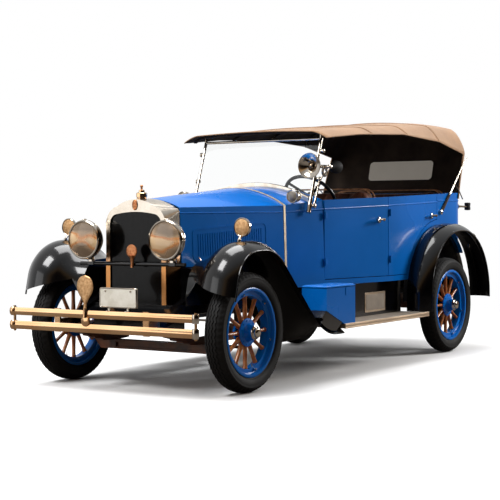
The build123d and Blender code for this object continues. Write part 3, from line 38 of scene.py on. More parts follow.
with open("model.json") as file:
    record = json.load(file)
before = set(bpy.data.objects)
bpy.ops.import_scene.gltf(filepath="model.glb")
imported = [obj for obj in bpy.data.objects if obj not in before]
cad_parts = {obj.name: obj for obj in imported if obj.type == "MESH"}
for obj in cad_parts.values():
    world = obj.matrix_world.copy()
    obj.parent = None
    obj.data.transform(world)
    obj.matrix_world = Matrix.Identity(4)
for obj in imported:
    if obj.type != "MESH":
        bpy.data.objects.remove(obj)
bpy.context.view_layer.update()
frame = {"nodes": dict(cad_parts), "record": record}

# Stations are counted from the front axle; SHIFT brings them into the frame, in metres
SHIFT = -1.622
WHEELBASE = 3.020
TRACK = 1.430
HUB_Z = 0.388
BODY_HALF = 0.660
SIDES = ((1, "left"), (-1, "right"))
SIDEWAYS = (1, 0, 0)
FORWARD = (0, -1, 0)
BACK = (0, 1, 0)
UP = (0, 0, 1)

# Centre of a headlamp's face, and the height of the band of painted reflection across its lens
LAMP_X = 0.335
LAMP_Z = 0.981
LENS_REFLECTION_Z = 0.975


def at(x, y, z):
    """Point in the frame: its distance left of the middle, station behind the front axle, and height."""
    return Vector((x, y + SHIFT, z))


def line(places, sign=1):
    """Points in the frame from (half-width, station, height) places; sign -1 puts them on the right."""
    return [at(sign * x, y, z) for x, y, z in places]


def side_x(y):
    """Half-width of the body side at a station."""
    return min(0.279 + 0.18 * y, BODY_HALF)


def mix(low, high, share):
    """Values of one row moved a share of the way to those of another."""
    return [a + share * (b - a) for a, b in zip(low, high)]


def linear(hexcode):
    """sRGB hex colour as linear RGBA."""
    parts = [int(hexcode[i : i + 2], 16) / 255 for i in (1, 3, 5)]
    return [c / 12.92 if c <= 0.04045 else ((c + 0.055) / 1.055) ** 2.4 for c in parts] + [1.0]


def add_node(tree, kind, settings=None, inputs=None):
    """Adds one shader node. Settings are its properties; inputs are values, or (node, socket) links."""
    made = tree.nodes.new(kind)
    for key, value in (settings or {}).items():
        setattr(made, key, value)
    for key, value in (inputs or {}).items():
        if isinstance(value, tuple) and isinstance(value[0], bpy.types.Node):
            tree.links.new(value[0].outputs[value[1]], made.inputs[key])
        else:
            made.inputs[key].default_value = value
    return made


def new_material(name, **surface):
    """A material with one Principled shader; surface gives its socket values, with _ for a space."""
    made = bpy.data.materials.new(name)
    made.use_nodes = True
    shader = made.node_tree.nodes["Principled BSDF"]
    for key, value in surface.items():
        shader.inputs[key.replace("_", " ")].default_value = value
    return made, made.node_tree, shader


class Finish:
    """A material whose colour drifts between two tones; stretch draws the drift out along an axis."""

    def __init__(self, name, low, high, scale, detail=4.0, stretch=(1.0, 1.0, 1.0), **surface):
        self.made, self.tree, self.shader = new_material(name, **surface)
        self.where = self.node("ShaderNodeTexCoord")
        drawn = self.node("ShaderNodeMapping", Vector=(self.where, "Object"), Scale=stretch)
        self.drift = self.node("ShaderNodeTexNoise", Vector=(drawn, "Vector"), Scale=scale, Detail=detail)
        self.ramp = self.node("ShaderNodeValToRGB", Fac=(self.drift, "Fac"))
        for stop, position, tone in zip(self.ramp.color_ramp.elements, (0.35, 0.65), (low, high)):
            stop.position = position
            stop.color = linear(tone)
        self.tree.links.new(self.ramp.outputs["Color"], self.shader.inputs["Base Color"])

    def node(self, kind, settings=None, **inputs):
        """One more node of this material."""
        return add_node(self.tree, kind, settings, inputs)

    def rough(self, low, high):
        """Roughness that varies with the drift, as handling and dust leave it."""
        reach = {"Value": (self.drift, "Fac"), "To Min": low, "To Max": high}
        spread = add_node(self.tree, "ShaderNodeMapRange", None, reach)
        self.tree.links.new(spread.outputs["Result"], self.shader.inputs["Roughness"])
        return self

    def relief(self, strength, depth, kind=None, output="Fac", settings=None, **inputs):
        """Bump that follows a pattern of the given kind, or else the drift."""
        pattern = self.drift
        if kind:
            pattern = self.node(kind, settings, Vector=(self.where, "Object"), **inputs)
        return self.raised((pattern, output), strength, depth)

    def raised(self, height, strength, depth):
        """Bump from an output of a node."""
        bump = self.node("ShaderNodeBump", Height=height, Strength=strength, Distance=depth)
        self.tree.links.new(bump.outputs["Normal"], self.shader.inputs["Normal"])
        return self


def make_metals(found):
    """Plated, struck and drawn metals."""
    # Nickel plate, buffed: a warm white metal with faint haze
    nickel = Finish("nickel_plate_buffed", "#B9AFA2", "#CFC7BC", 14.0, Metallic=1.0)
    found["nickel"] = nickel.rough(0.07, 0.16)

    # Nickel plate of the radiator shell, buffed softer; its foot is tinted copper, a painted warm reflection
    shell = Finish("nickel_plate_painted_reflection_foot", "#C2B8AA", "#D2C9BD", 14.0, Metallic=1.0).rough(0.18, 0.28)
    split = shell.node("ShaderNodeSeparateXYZ", Vector=(shell.where, "Object"))
    reach = {"Value": (split, "Z"), "From Min": 1.02, "From Max": 0.80}
    warm_reflection_share = add_node(shell.tree, "ShaderNodeMapRange", None, reach)
    # Painted warm reflection: the shell's colour turns to copper towards its foot, below the lamp bar
    tones = {0: (warm_reflection_share, "Result"), 6: (shell.ramp, "Color"), 7: linear("#B9824F")}
    tone = add_node(shell.tree, "ShaderNodeMix", {"data_type": "RGBA"}, tones)
    shell.tree.links.new(tone.outputs[2], shell.shader.inputs["Base Color"])
    found["shell_nickel"] = shell

    # Nickel plate brushed dull: warm and pale, with no mirror in it
    brushed = Finish("nickel_plate_brushed", "#CDBB9F", "#E2D2B8", 40.0, Metallic=1.0)
    found["brushed_nickel"] = brushed.rough(0.34, 0.48)

    # Nickel plate worn through to its copper under-plate: golden where polish has thinned it
    worn = Finish("nickel_plate_copper_worn", "#D0A276", "#DEBB92", 2.0, 2.0, Metallic=1.0)
    found["worn_nickel"] = worn.rough(0.12, 0.2)

    # Copper, struck and toned, and bronze, struck and rubbed to a straw tone: both with pebble grain of 4 mm
    for key, name, low, high in (
        ("copper", "copper_struck_toned", "#B06A44", "#D79A6C"),
        ("bronze", "bronze_struck_rubbed", "#B98B5E", "#DDB688"),
    ):
        struck = Finish(name, low, high, 60.0, Metallic=1.0).rough(0.3, 0.45)
        found[key] = struck.relief(0.5, 0.0015, "ShaderNodeTexVoronoi", "Distance", Scale=240.0)

    # Aluminium moulding, drawn: fine lines along the board
    fine = (1.0, 0.1, 1.0)
    moulding = Finish("aluminium_moulding_drawn", "#C9B49C", "#E2CDB4", 20.0, stretch=fine, Metallic=1.0)
    found["aluminium"] = moulding.rough(0.28, 0.42)

    # Painted cast iron: rough sand-cast skin
    iron = Finish("cast_iron_painted", "#3A3B3C", "#4B4C4D", 15.0).rough(0.5, 0.7)
    found["engine_iron"] = iron.relief(0.4, 0.001, "ShaderNodeTexNoise", Scale=500.0)


def make_paints(found):
    """Lacquer and enamels."""
    # Blue nitrocellulose lacquer, sprayed and polished: deep colour, clear gloss and faint orange peel
    gloss = {"Coat_Weight": 0.18, "Coat_Roughness": 0.03, "Specular_IOR_Level": 0.18}
    blue = Finish("blue_lacquer_polished", "#0063B8", "#006DCC", 1.2, **gloss).rough(0.2, 0.32)
    found["blue_paint"] = blue.relief(0.04, 0.001, "ShaderNodeTexNoise", Scale=220.0, Detail=2.0)

    # Black stoving enamel: near-black with sharp reflections, and dust that dulls it a little
    gloss = {"Coat_Weight": 0.3, "Coat_Roughness": 0.05, "Specular_IOR_Level": 0.35}
    found["black_paint"] = Finish("black_enamel_stoved", "#040405", "#08080A", 3.0, **gloss).rough(0.1, 0.22)

    # Brown chassis enamel over steel: satin, dusty
    brown = Finish("brown_enamel_satin", "#3A2012", "#6B3C1E", 9.0)
    found["brown_paint"] = brown.rough(0.38, 0.6).relief(0.1, 0.002)

    # Vitreous enamel on steel sheet, fired and left blank
    enamel = Finish("vitreous_enamel_white", "#D3CDBD", "#E8E4D8", 12.0, Coat_Weight=0.4)
    found["plate_enamel"] = enamel.rough(0.2, 0.35)


def make_soft_finishes(found):
    """Wood, rubber, cloth and hide."""
    # Hickory, turned and varnished: orange-brown with grain drawn out along the spoke
    varnish = {"Coat_Weight": 0.4, "Coat_Roughness": 0.12}
    wood = Finish("hickory_turned_varnished", "#8A4218", "#CE7F3C", 55.0, 6.0, (1.0, 0.35, 0.35), **varnish)
    found["spoke_wood"] = wood.rough(0.28, 0.45).relief(0.15, 0.0008)

    # Pine boards, stained dark
    pine = Finish("pine_boards_stained", "#1D140D", "#2E2015", 25.0, 6.0, (1.0, 0.2, 1.0))
    found["floor_wood"] = pine.rough(0.5, 0.75)

    # Natural rubber with carbon black, moulded: matte charcoal
    rubber = Finish("tyre_rubber_moulded", "#0B0B0C", "#141313", 12.0, Specular_IOR_Level=0.3)
    found["tyre_rubber"] = rubber.rough(0.55, 0.8).relief(0.2, 0.0006, "ShaderNodeTexNoise", Scale=900.0)

    # Ribbed rubber mat: ribs every 12 mm along the board, grey with road dust
    mat = Finish("rubber_mat_ribbed", "#7F7468", "#948879", 10.0).rough(0.6, 0.8)
    ribs = {"bands_direction": "X"}
    found["board_rubber"] = mat.relief(0.5, 0.003, "ShaderNodeTexWave", "Fac", ribs, Scale=26.0)

    # Rubber-coated cotton duck: a plain weave, drawn at 3 mm because the real 0.6 mm threads don't show
    cloth = Finish("cotton_duck_woven", "#8F6B49", "#9D7753", 5.0, Sheen_Weight=0.2).rough(0.75, 0.92)
    threads = []
    for way in ("X", "Y"):
        place = (cloth.where, "Object")
        threads.append(cloth.node("ShaderNodeTexWave", {"bands_direction": way}, Vector=place, Scale=100.0))
    crossing = {0: (threads[0], "Fac"), 1: (threads[1], "Fac")}
    weave = add_node(cloth.tree, "ShaderNodeMath", {"operation": "ADD"}, crossing)
    found["tan_cloth"] = cloth.raised((weave, "Value"), 0.2, 0.0008)

    # Black cotton lining of the top: soft twill that drinks the light, drawn coarse so that it shows
    dull = {"Sheen_Weight": 0.1, "Specular_IOR_Level": 0.15}
    lining = Finish("cotton_lining_black", "#382F29", "#463B33", 8.0, **dull).rough(0.85, 0.95)
    twill = {"bands_direction": "DIAGONAL"}
    found["black_lining"] = lining.relief(0.2, 0.0006, "ShaderNodeTexWave", "Fac", twill, Scale=120.0)

    # Cowhide, dyed and waxed: grain cells of 3 mm with a soft sheen
    leather = Finish("cowhide_waxed", "#43200F", "#6B371C", 8.0, Sheen_Weight=0.1).rough(0.38, 0.55)
    found["brown_leather"] = leather.relief(0.2, 0.0008, "ShaderNodeTexVoronoi", "Distance", Scale=330.0)

    # Piping of tan hide, rolled: paler where the edge rubs
    piping = Finish("hide_piping_rubbed", "#A06A42", "#C89066", 30.0)
    found["piping"] = piping.rough(0.4, 0.6).relief(0.1, 0.0006)


def make_clear_finishes(found):
    """Glass and film."""
    # Pressed lens over a silvered bowl: upright flutes every 5 mm; its colour is a painted reflection of the
    # bowl, warmest in a level band
    silvered = {"Metallic": 0.75, "Coat_Weight": 1.0, "Coat_Roughness": 0.03}
    lens = Finish("pressed_glass_lens", "#86715A", "#F0CDA0", 5.0, 0.5, (1.0, 1.0, 2.4), **silvered)
    # Painted reflection: pale and warm tones stand for the silvered bowl, brightest in a level band about the
    # lamp's centre
    lens.ramp.color_ramp.elements.new(0.47).color = linear("#B2977A")
    lens.ramp.color_ramp.elements.new(0.56).color = linear("#DB9455")
    split = lens.node("ShaderNodeSeparateXYZ", Vector=(lens.where, "Object"))
    off = add_node(lens.tree, "ShaderNodeMath", {"operation": "SUBTRACT"}, {0: (split, "Z"), 1: LENS_REFLECTION_Z})
    level = add_node(lens.tree, "ShaderNodeMath", {"operation": "ABSOLUTE"}, {0: (off, "Value")})
    reach = {"Value": (level, "Value"), "From Max": 0.10, "To Min": 0.10, "To Max": -0.10}
    band = add_node(lens.tree, "ShaderNodeMapRange", None, reach)
    parts = {0: (lens.drift, "Fac"), 1: (band, "Result")}
    painted_reflection = add_node(lens.tree, "ShaderNodeMath", {"operation": "ADD"}, parts)
    lens.tree.links.new(painted_reflection.outputs["Value"], lens.ramp.inputs["Fac"])
    flutes = {"bands_direction": "X"}
    found["lens"] = lens.rough(0.2, 0.34).relief(0.4, 0.002, "ShaderNodeTexWave", "Fac", flutes, Scale=62.0)

    # Frosted lens of the cowl lamps: grey and dull
    dull = {"Metallic": 0.3, "Coat_Weight": 0.8, "Coat_Roughness": 0.1}
    frosted = Finish("pressed_glass_frosted", "#5C544A", "#7C7468", 30.0, **dull)
    found["frosted_lens"] = frosted.rough(0.3, 0.5)

    # Red pressed glass of the tail lamp
    red = {"Transmission_Weight": 0.3, "IOR": 1.5, "Coat_Weight": 0.6}
    found["ruby"] = Finish("ruby_glass_pressed", "#7A0B0B", "#A31212", 60.0, **red).rough(0.1, 0.2)

    # Celluloid film, rolled: grey and cloudy; the daylight that it passes is drawn as a faint glow
    cloudy = {"IOR": 1.49, "Transmission_Weight": 0.6}
    cloudy.update(Emission_Color=linear("#9A948B"), Emission_Strength=0.42)
    found["grey_film"] = Finish("celluloid_film_rolled", "#BCB7AE", "#C4BFB6", 6.0, **cloudy).rough(0.3, 0.4)


def make_materials():
    """All finishes. Those that stand for a material slot of the record carry its name."""
    found = {}
    for make in (make_metals, make_paints, make_soft_finishes, make_clear_finishes):
        make(found)
    made = {key: finish.made for key, finish in found.items()}

    # Plate glass, ground and polished: clear, with a trace of green-blue
    clear = {"Transmission_Weight": 1.0, "Roughness": 0.0, "IOR": 1.5, "Base_Color": linear("#FDFEFE")}
    made["clear_glass"] = new_material("plate_glass_polished", **clear)[0]
    return made


finishes = make_materials()


# Nets: (points, faces) pairs that the pieces are put together from
def net(rows, ring=False, wrap=False):
    """Quads over rows of points. Ring closes each row; wrap joins the last row to the first."""
    count, width = len(rows), len(rows[0])
    points = [p for row in rows for p in row]
    faces = []
    for i in range(count if wrap else count - 1):
        for j in range(width if ring else width - 1):
            ahead = (i + 1) % count
            aside = (j + 1) % width
            faces.append((i * width + j, i * width + aside, ahead * width + aside, ahead * width + j))
    return points, faces


def circle(count, wide=1.0, tall=1.0):
    """Points (x, y) of an ellipse with these half-axes."""
    angles = [2 * math.pi * step / count for step in range(count)]
    return [(wide * math.cos(a), tall * math.sin(a)) for a in angles]


def mm(rows):
    """Rows of a table given in millimetres, in metres."""
    return [tuple(value / 1000 for value in row) for row in rows]


def mirrored(profile, middle=()):
    """A profile, what lies in its middle, and its own mirror image."""
    return [*profile, *middle, *[(-x, r) for x, r in reversed(profile)]]


def turned(profile, steps=64, ring=False):
    """Net of an (x, r) profile turned about the X axis. Ring closes the profile on itself."""
    rows = [[Vector((x, r * across, r * up)) for x, r in profile] for across, up in circle(steps)]
    return net(rows, ring=ring, wrap=True)


def tube(path, radius, sides=10, closed=False):
    """Net of a round bar along points; radius is one value or one per point. Open ends are capped."""
    count = len(path)
    radii = radius if isinstance(radius, (list, tuple)) else [radius] * count
    rows = []
    side = None
    for i, point in enumerate(path):
        back = path[i - 1] if i or closed else point
        ahead = path[(i + 1) % count] if i < count - 1 or closed else point
        along = (ahead - back).normalized()
        if side is None:
            side = along.orthogonal().normalized()
        side = (side - along * side.dot(along)).normalized()
        up = along.cross(side)
        rows.append([point + (side * a + up * b) * radii[i] for a, b in circle(sides)])
    points, faces = net(rows, ring=True, wrap=closed)
    if not closed:
        faces.append(tuple(reversed(range(sides))))
        faces.append(tuple(range((count - 1) * sides, count * sides)))
    return points, faces


def plate(outline, depth, edge=0.0):
    """Net of a flat plate: outline of (x, y) points, from z 0 up to depth, its two rims chamfered by edge."""
    outline = [Vector(point) for point in outline]
    centre = sum(outline, Vector((0, 0))) / len(outline)
    inner = []
    for point in outline:
        arm = point - centre
        inner.append(centre + arm * max(0.0, 1 - edge / max(arm.length, 1e-6)))
    levels = ((inner, 0), (outline, edge), (outline, depth - edge), (inner, depth))
    points, faces = net([[Vector((p.x, p.y, z)) for p in ring] for ring, z in levels], ring=True)
    count = len(outline)
    faces.append(tuple(reversed(range(count))))
    faces.append(tuple(range(3 * count, 4 * count)))
    return points, faces


def rounded(width, height, radius, steps=6):
    """Outline of a rectangle with rounded corners, centred on zero."""
    outline = []
    for cx, cy, start in ((1, 1, 0), (-1, 1, 90), (-1, -1, 180), (1, -1, 270)):
        for step in range(steps + 1):
            angle = math.radians(start + 90 * step / steps)
            x = cx * (width / 2 - radius) + radius * math.cos(angle)
            y = cy * (height / 2 - radius) + radius * math.sin(angle)
            outline.append((x, y))
    return outline


def distinct(ring):
    """Points of a closed ring without repeats."""
    return [p for i, p in enumerate(ring) if (p - ring[i - 1]).length > 1e-5]


def hoop(place, outline, lift=0.0):
    """Points of a flat outline put at a place, for a closed bar."""
    return distinct([place @ Vector((x, y, lift)) for x, y in outline])


def filleted(points, radii, steps=10):
    """Points (y, z) of a line with its inner corners rounded, as the fenders' crown lines are."""
    curve = [Vector(points[0])]
    for i, radius in enumerate(radii):
        corner = Vector(points[i + 1])
        back = (Vector(points[i]) - corner).normalized()
        ahead = (Vector(points[i + 2]) - corner).normalized()
        half = back.angle(ahead) / 2
        run = radius / math.tan(half)
        centre = corner + (back + ahead).normalized() * (radius / math.sin(half))
        first = corner + back * run - centre
        last = corner + ahead * run - centre
        sweep = first.angle_signed(last)
        for step in range(steps + 1):
            curve.append(centre + Matrix.Rotation(-sweep * step / steps, 2) @ first)
    curve.append(Vector(points[-1]))
    return curve


def frame_at(origin, x_axis, z_axis):
    """Matrix that puts a net's own axes at a place: x along x_axis, z along z_axis."""
    z = Vector(z_axis).normalized()
    x = Vector(x_axis)
    x = (x - z * x.dot(z)).normalized()
    y = z.cross(x)
    made = Matrix((x, y, z)).transposed().to_4x4()
    made.translation = origin
    return made


class Piece:
    """One visible piece under construction: nets with a finish for each face."""

    def __init__(self):
        self.points = []
        self.faces = []
        self.marks = []

    def add(self, finish, shape, place=None):
        """Adds a net, at a place."""
        points, faces = shape
        base = len(self.points)
        self.points += [place @ Vector(p) if place else Vector(p) for p in points]
        self.faces += [tuple(base + k for k in face) for face in faces]
        self.marks += [finish] * len(faces)
        return self

    def lathe(self, finish, profile, steps, origin, along, ring=False):
        """Adds an (x, r) profile turned about an axis that runs along a direction from an origin."""
        place = frame_at(origin, along, BACK if along[2] else UP)
        return self.add(finish, turned(profile, steps, ring), place)

    def bar(self, finish, path, radius, sides=10, closed=False):
        """Adds a round bar along points."""
        return self.add(finish, tube(path, radius, sides, closed))

    def build(self, name, body="chassis", *stands_for, sharp=35.0, weld=True):
        """Makes the object, rides it on its body and hides the nodes it stands for."""
        mesh = bpy.data.meshes.new(name)
        mesh.from_pydata([tuple(p) for p in self.points], [], self.faces)
        names = sorted(set(self.marks))
        for finish in names:
            mesh.materials.append(finishes[finish])
        mesh.polygons.foreach_set("material_index", [names.index(mark) for mark in self.marks])
        if weld:
            work = bmesh.new()
            work.from_mesh(mesh)
            bmesh.ops.remove_doubles(work, verts=work.verts, dist=1e-6)
            bmesh.ops.recalc_face_normals(work, faces=work.faces)
            work.to_mesh(mesh)
            work.free()
        mesh.shade_smooth()
        mesh.set_sharp_from_angle(angle=math.radians(sharp))
        made = bpy.data.objects.new(name, mesh)
        bpy.context.scene.collection.objects.link(made)
        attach(made, body)
        if stands_for:
            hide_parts(*stands_for)
        return made


class CarSizes(bpy.types.PropertyGroup):
    """Sizes that a user would change."""

    lens: bpy.props.FloatProperty(name="Lens", description="Camera focal length in millimetres", default=97.5)
    floor_size: bpy.props.FloatProperty(
        name="Floor", description="Width of the studio floor", default=80.0, unit="LENGTH"
    )
    tread_depth: bpy.props.FloatProperty(
        name="Tread depth", description="Depth of the tyre grooves", default=0.006, unit="LENGTH"
    )
    cloth_sag: bpy.props.FloatProperty(
        name="Cloth sag", description="How far the top sinks between its bows", default=0.009, unit="LENGTH"
    )
    pad_swell: bpy.props.FloatProperty(
        name="Pad swell", description="Most that a seat pad swells", default=0.02, unit="LENGTH"
    )


class CAR_OT_finish_frame(bpy.types.Operator):
    """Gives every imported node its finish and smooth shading"""

    bl_idname = "touring_car.finish_frame"
    bl_label = "Finish the frame"

    def execute(self, context):
        slots = {row["node"]: row["material_slot"] for row in frame["record"]["subparts"]}
        slots.update(front_bumper="worn_nickel", hood_hinge="brushed_nickel", radiator_shell="shell_nickel")
        for name, node in frame["nodes"].items():
            node.data.materials.clear()
            node.data.materials.append(finishes[slots[name]])
            node.data.shade_smooth()
            weld = node.modifiers.new("weld", "WELD")
            weld.merge_threshold = 0.00002
            edges = node.modifiers.new("edge", "EDGE_SPLIT")
            edges.split_angle = math.radians(32)
        return {"FINISHED"}


WHEELS = (
    # node stem, body, hub centre, turn about Z in degrees, brake drum
    ("front_left", "front_left_wheel", at(TRACK / 2, 0, HUB_Z), 0, False),
    ("front_right", "front_right_wheel", at(-TRACK / 2, 0, HUB_Z), 180, False),
    ("rear_left", "rear_left_wheel", at(TRACK / 2, WHEELBASE, HUB_Z), 0, True),
    ("rear_right", "rear_right_wheel", at(-TRACK / 2, WHEELBASE, HUB_Z), 180, True),
    ("spare", "chassis", at(0, 3.724, 0.760), 90, False),
)
SPOKES = 12
SPOKE_SIDES = 14

# Lathe profiles of the wheel, as (x outwards, radius)
RIM_HALF = mm([
    (26, 234), (28, 236), (28.5, 244), (28.5, 260), (31, 264), (48, 266), (55.5, 270), (56.5, 276),
    (56.5, 284), (54, 288), (50, 286), (48, 272),
])
HUB = mm([
    (-56, 30), (-56, 56), (-50, 60), (-30, 62), (-27, 86), (-23, 88), (-19, 86), (-18, 62), (13, 62),
    (15, 88), (19, 92), (24, 90), (27, 78), (30, 60), (40, 52), (60, 46), (73, 43), (74, 30),
])
HUB_CAP = mm([
    (70, 34), (74, 40), (79, 42.5), (86, 42.5), (89, 39), (91, 35), (99, 34), (104, 31), (107, 24),
    (108, 12), (108, 0.2),
])
CAP_RING = mm([(73, 41), (76, 45.5), (81, 45.5), (83, 40)])
DRUM = mm([(-44, 158), (-44, 166), (-40, 168), (-22, 168), (-19, 164), (-18, 62), (-22, 62), (-24, 158)])
BOLT_HEAD = mm([(0, 6.2), (6.5, 6), (8, 4.5), (8.4, 0.1)])
LUG_NUT = mm([(6, 6.8), (14, 6.6), (15.5, 5), (16, 0.1)])
VALVE = mm([(12, 0, -236), (14, 0, -222), (18, 0, -204)])

# The spoke's sections, as (radius, half-width, half-depth)
SPOKE = mm([
    (52, 12.8, 16.5), (80, 16.5, 18), (92, 15, 17.8), (110, 12.5, 16.8), (150, 10.8, 15),
    (190, 10.4, 14.2), (214, 11.6, 14.5), (228, 15, 15.8), (238, 17.2, 16.5),
])


def about_axle(angle):
    """Turn about the axle, in radians."""
    return Matrix.Rotation(angle, 4, "X")


def wheel_place(centre, turn):
    """Matrix that puts a wheel's net on its hub."""
    return Matrix.Translation(centre) @ Matrix.Rotation(math.radians(turn), 4, "Z")


class CAR_OT_build_wheels(bpy.types.Operator):
    """Wooden-spoked wheels: blue rim, felloe and hub flanges, turned spokes, bolts and a nickel cap"""

    bl_idname = "touring_car.build_wheels"
    bl_label = "Build the wheels"

    def execute(self, context):
        sections = []
        for r, wide, deep in SPOKE:
            sections.append([Vector((x, y, r)) for x, y in circle(SPOKE_SIDES, deep, wide)])
        spoke = net(sections, ring=True)
        clamp = plate(rounded(0.030, 0.022, 0.005, 3), 0.008, 0.002)
        for stem, body, centre, turn, drummed in WHEELS:
            piece = Piece()
            spin = wheel_place(centre, turn)
            piece.add("blue_paint", turned(mirrored(RIM_HALF), 96, ring=True), spin)
            piece.add("blue_paint", turned(HUB, 48, ring=True), spin)
            piece.add("nickel", turned(HUB_CAP, 8), spin)
            piece.add("nickel", turned(CAP_RING, 32), spin)
            if drummed:
                piece.add("black_paint", turned(DRUM, 64, ring=True), spin)
            for step in range(SPOKES):
                swing = spin @ about_axle(2 * math.pi * step / SPOKES)
                piece.add("spoke_wood", spoke, swing)
                gap = swing @ about_axle(math.pi / SPOKES)
                piece.add("blue_paint", turned(BOLT_HEAD, 6), gap @ Matrix.Translation((0.022, 0, 0.076)))
                if step % 2 == 0:
                    lug = gap @ Matrix.Translation((0.0275, 0, 0.250))
                    piece.add("blue_paint", clamp, lug @ frame_at((0, 0, 0), BACK, SIDEWAYS))
                    piece.add("nickel", turned(LUG_NUT, 6), lug)
            valve = [spin @ about_axle(0.26) @ Vector(p) for p in VALVE]
            piece.bar("nickel", valve, [0.005, 0.004, 0.0035])
            piece.build(stem + "_wooden_wheel", body, stem + "_wheel", sharp=38)
        return {"FINISHED"}


# The tyre's outside from the rim to its shoulder, as (x, radius), with the two beads of the sidewall
WALL = mm([
    (49.5, 271), (49.5, 288), (53.5, 294), (56, 299), (59, 300), (61, 303), (63, 306), (66.5, 316),
    (68.8, 326), (69.5, 336), (68.8, 346), (70, 349), (69.5, 352), (66.8, 354), (64.5, 360),
])
TREAD_STEPS = 240
GROOVES = (0.034, 0.0115, -0.0115, -0.034)
ZIGZAG = 0.0035
NOTCH = 0.0045
TREAD_HALF = 0.048
TREAD_CROWN = 0.0105


class CAR_OT_build_tyres(bpy.types.Operator):
    """Tyres with zigzag ribs, notched shoulders and sidewall beads"""

    bl_idname = "touring_car.build_tyres"
    bl_label = "Build the tyres"

    def execute(self, context):
        depth = context.scene.touring_car.tread_depth
        rows = []
        for step, (across, up) in enumerate(circle(TREAD_STEPS)):
            shift = ZIGZAG if (step // 2) % 2 else -ZIGZAG
            notch = NOTCH if step % 4 < 2 else 0.0
            side = list(WALL)
            side += [(0.0600 - notch * 0.4, 0.3665 - notch), (0.0545 - notch * 0.3, 0.3725 - notch)]
            side += [(TREAD_HALF, 0.3770 - notch * 0.3)]
            crown = []
            for groove in GROOVES:
                for x, low in ((0.0042, 0), (0.0026, depth), (-0.0026, depth), (-0.0042, 0)):
                    x += groove + shift
                    crown.append((x, HUB_Z - (x / TREAD_HALF) ** 2 * TREAD_CROWN - low))
            rows.append([Vector((x, r * across, r * up)) for x, r in mirrored(side, crown)])
        shape = net(rows, ring=True, wrap=True)
        for stem, body, centre, turn, _ in WHEELS:
            piece = Piece().add("tyre_rubber", shape, wheel_place(centre, turn))
            piece.build(stem + "_treaded_tyre", body, stem + "_tyre", sharp=50)
        return {"FINISHED"}


TOP_ROWS = (
    # station, half-width, edge height, crown height
    (1.215, 0.628, 1.690, 1.760),
    (1.700, 0.640, 1.735, 1.805),
    (2.400, 0.648, 1.765, 1.860),
    (3.050, 0.650, 1.735, 1.915),
    (3.520, 0.648, 1.652, 1.940),
)
TOP_FRONT = TOP_ROWS[0][0]
TOP_REAR = TOP_ROWS[-1][0]
TOP_STEPS = 44
FOLD_STEPS = 8
DROP_STEPS = 12
BOWS = (1.340, 1.900, 2.480, 3.060, 3.500)

# Plan of the back curtain at the top's edge and at the body: half-width, rear, corner, front
CURTAIN_HEAD = (0.645, 3.688, 0.150, 3.535)
CURTAIN_FOOT = (0.669, 3.569, 0.219, 3.390)
CURTAIN_TOP_Z = 1.650
CURTAIN_DROP = 0.380
CURTAIN_HOLLOW = 0.010

# The cloth's thickness, how far from a bow it sags in full, how square its rear fold is, and its welts
CLOTH_THICK = 0.003
SAG_REACH = 0.2
FOLD_POWER = 0.72
WELT_RADIUS = 0.0045

# Share of the top's drop that is spread over its width. The rest falls outside the shoulder
ARCH_SPREAD = 0.38
ARCH_SHOULDER = 0.80


def between(rows, station):
    """Values of a table of rows at a station."""
    for low, high in zip(rows, rows[1:]):
        if station <= high[0]:
            return mix(low, high, max(0.0, (station - low[0]) / (high[0] - low[0])))
    return list(rows[-1])


def arch(half, edge, crown, count=40):
    """Half-round section of the top from the right edge over the crown to the left: (x, z) points."""
    spots = []
    for step in range(count + 1):
        t = -1 + 2 * step / count
        across = math.copysign(1 - (1 - abs(t)) ** 1.35, t)
        past = max(0.0, (abs(across) - ARCH_SHOULDER) / (1 - ARCH_SHOULDER))
        drop = across**2 * ARCH_SPREAD + past**1.7 * (1 - ARCH_SPREAD)
        spots.append((half * across, crown - (crown - edge) * min(1.0, drop)))
    return spots


def plan(half, rear, corner, front, count=40):
    """U-shaped plan from the right front edge round the back to the left: (x, y) points spaced as in arch."""
    side = rear - corner - front
    bend = corner * math.pi / 2
    total = 2 * side + 2 * bend + 2 * (half - corner)
    spots = []
    for step in range(count + 1):
        run = total * step / count
        back = run > total / 2
        run = total - run if back else run
        if run < side:
            x, y = half, front + run
        elif run < side + bend:
            turn = (run - side) / corner
            x, y = half - corner + corner * math.cos(turn), rear - corner + corner * math.sin(turn)
        else:
            x, y = half - corner - (run - side - bend), rear
        spots.append((x if back else -x, y))
    return spots


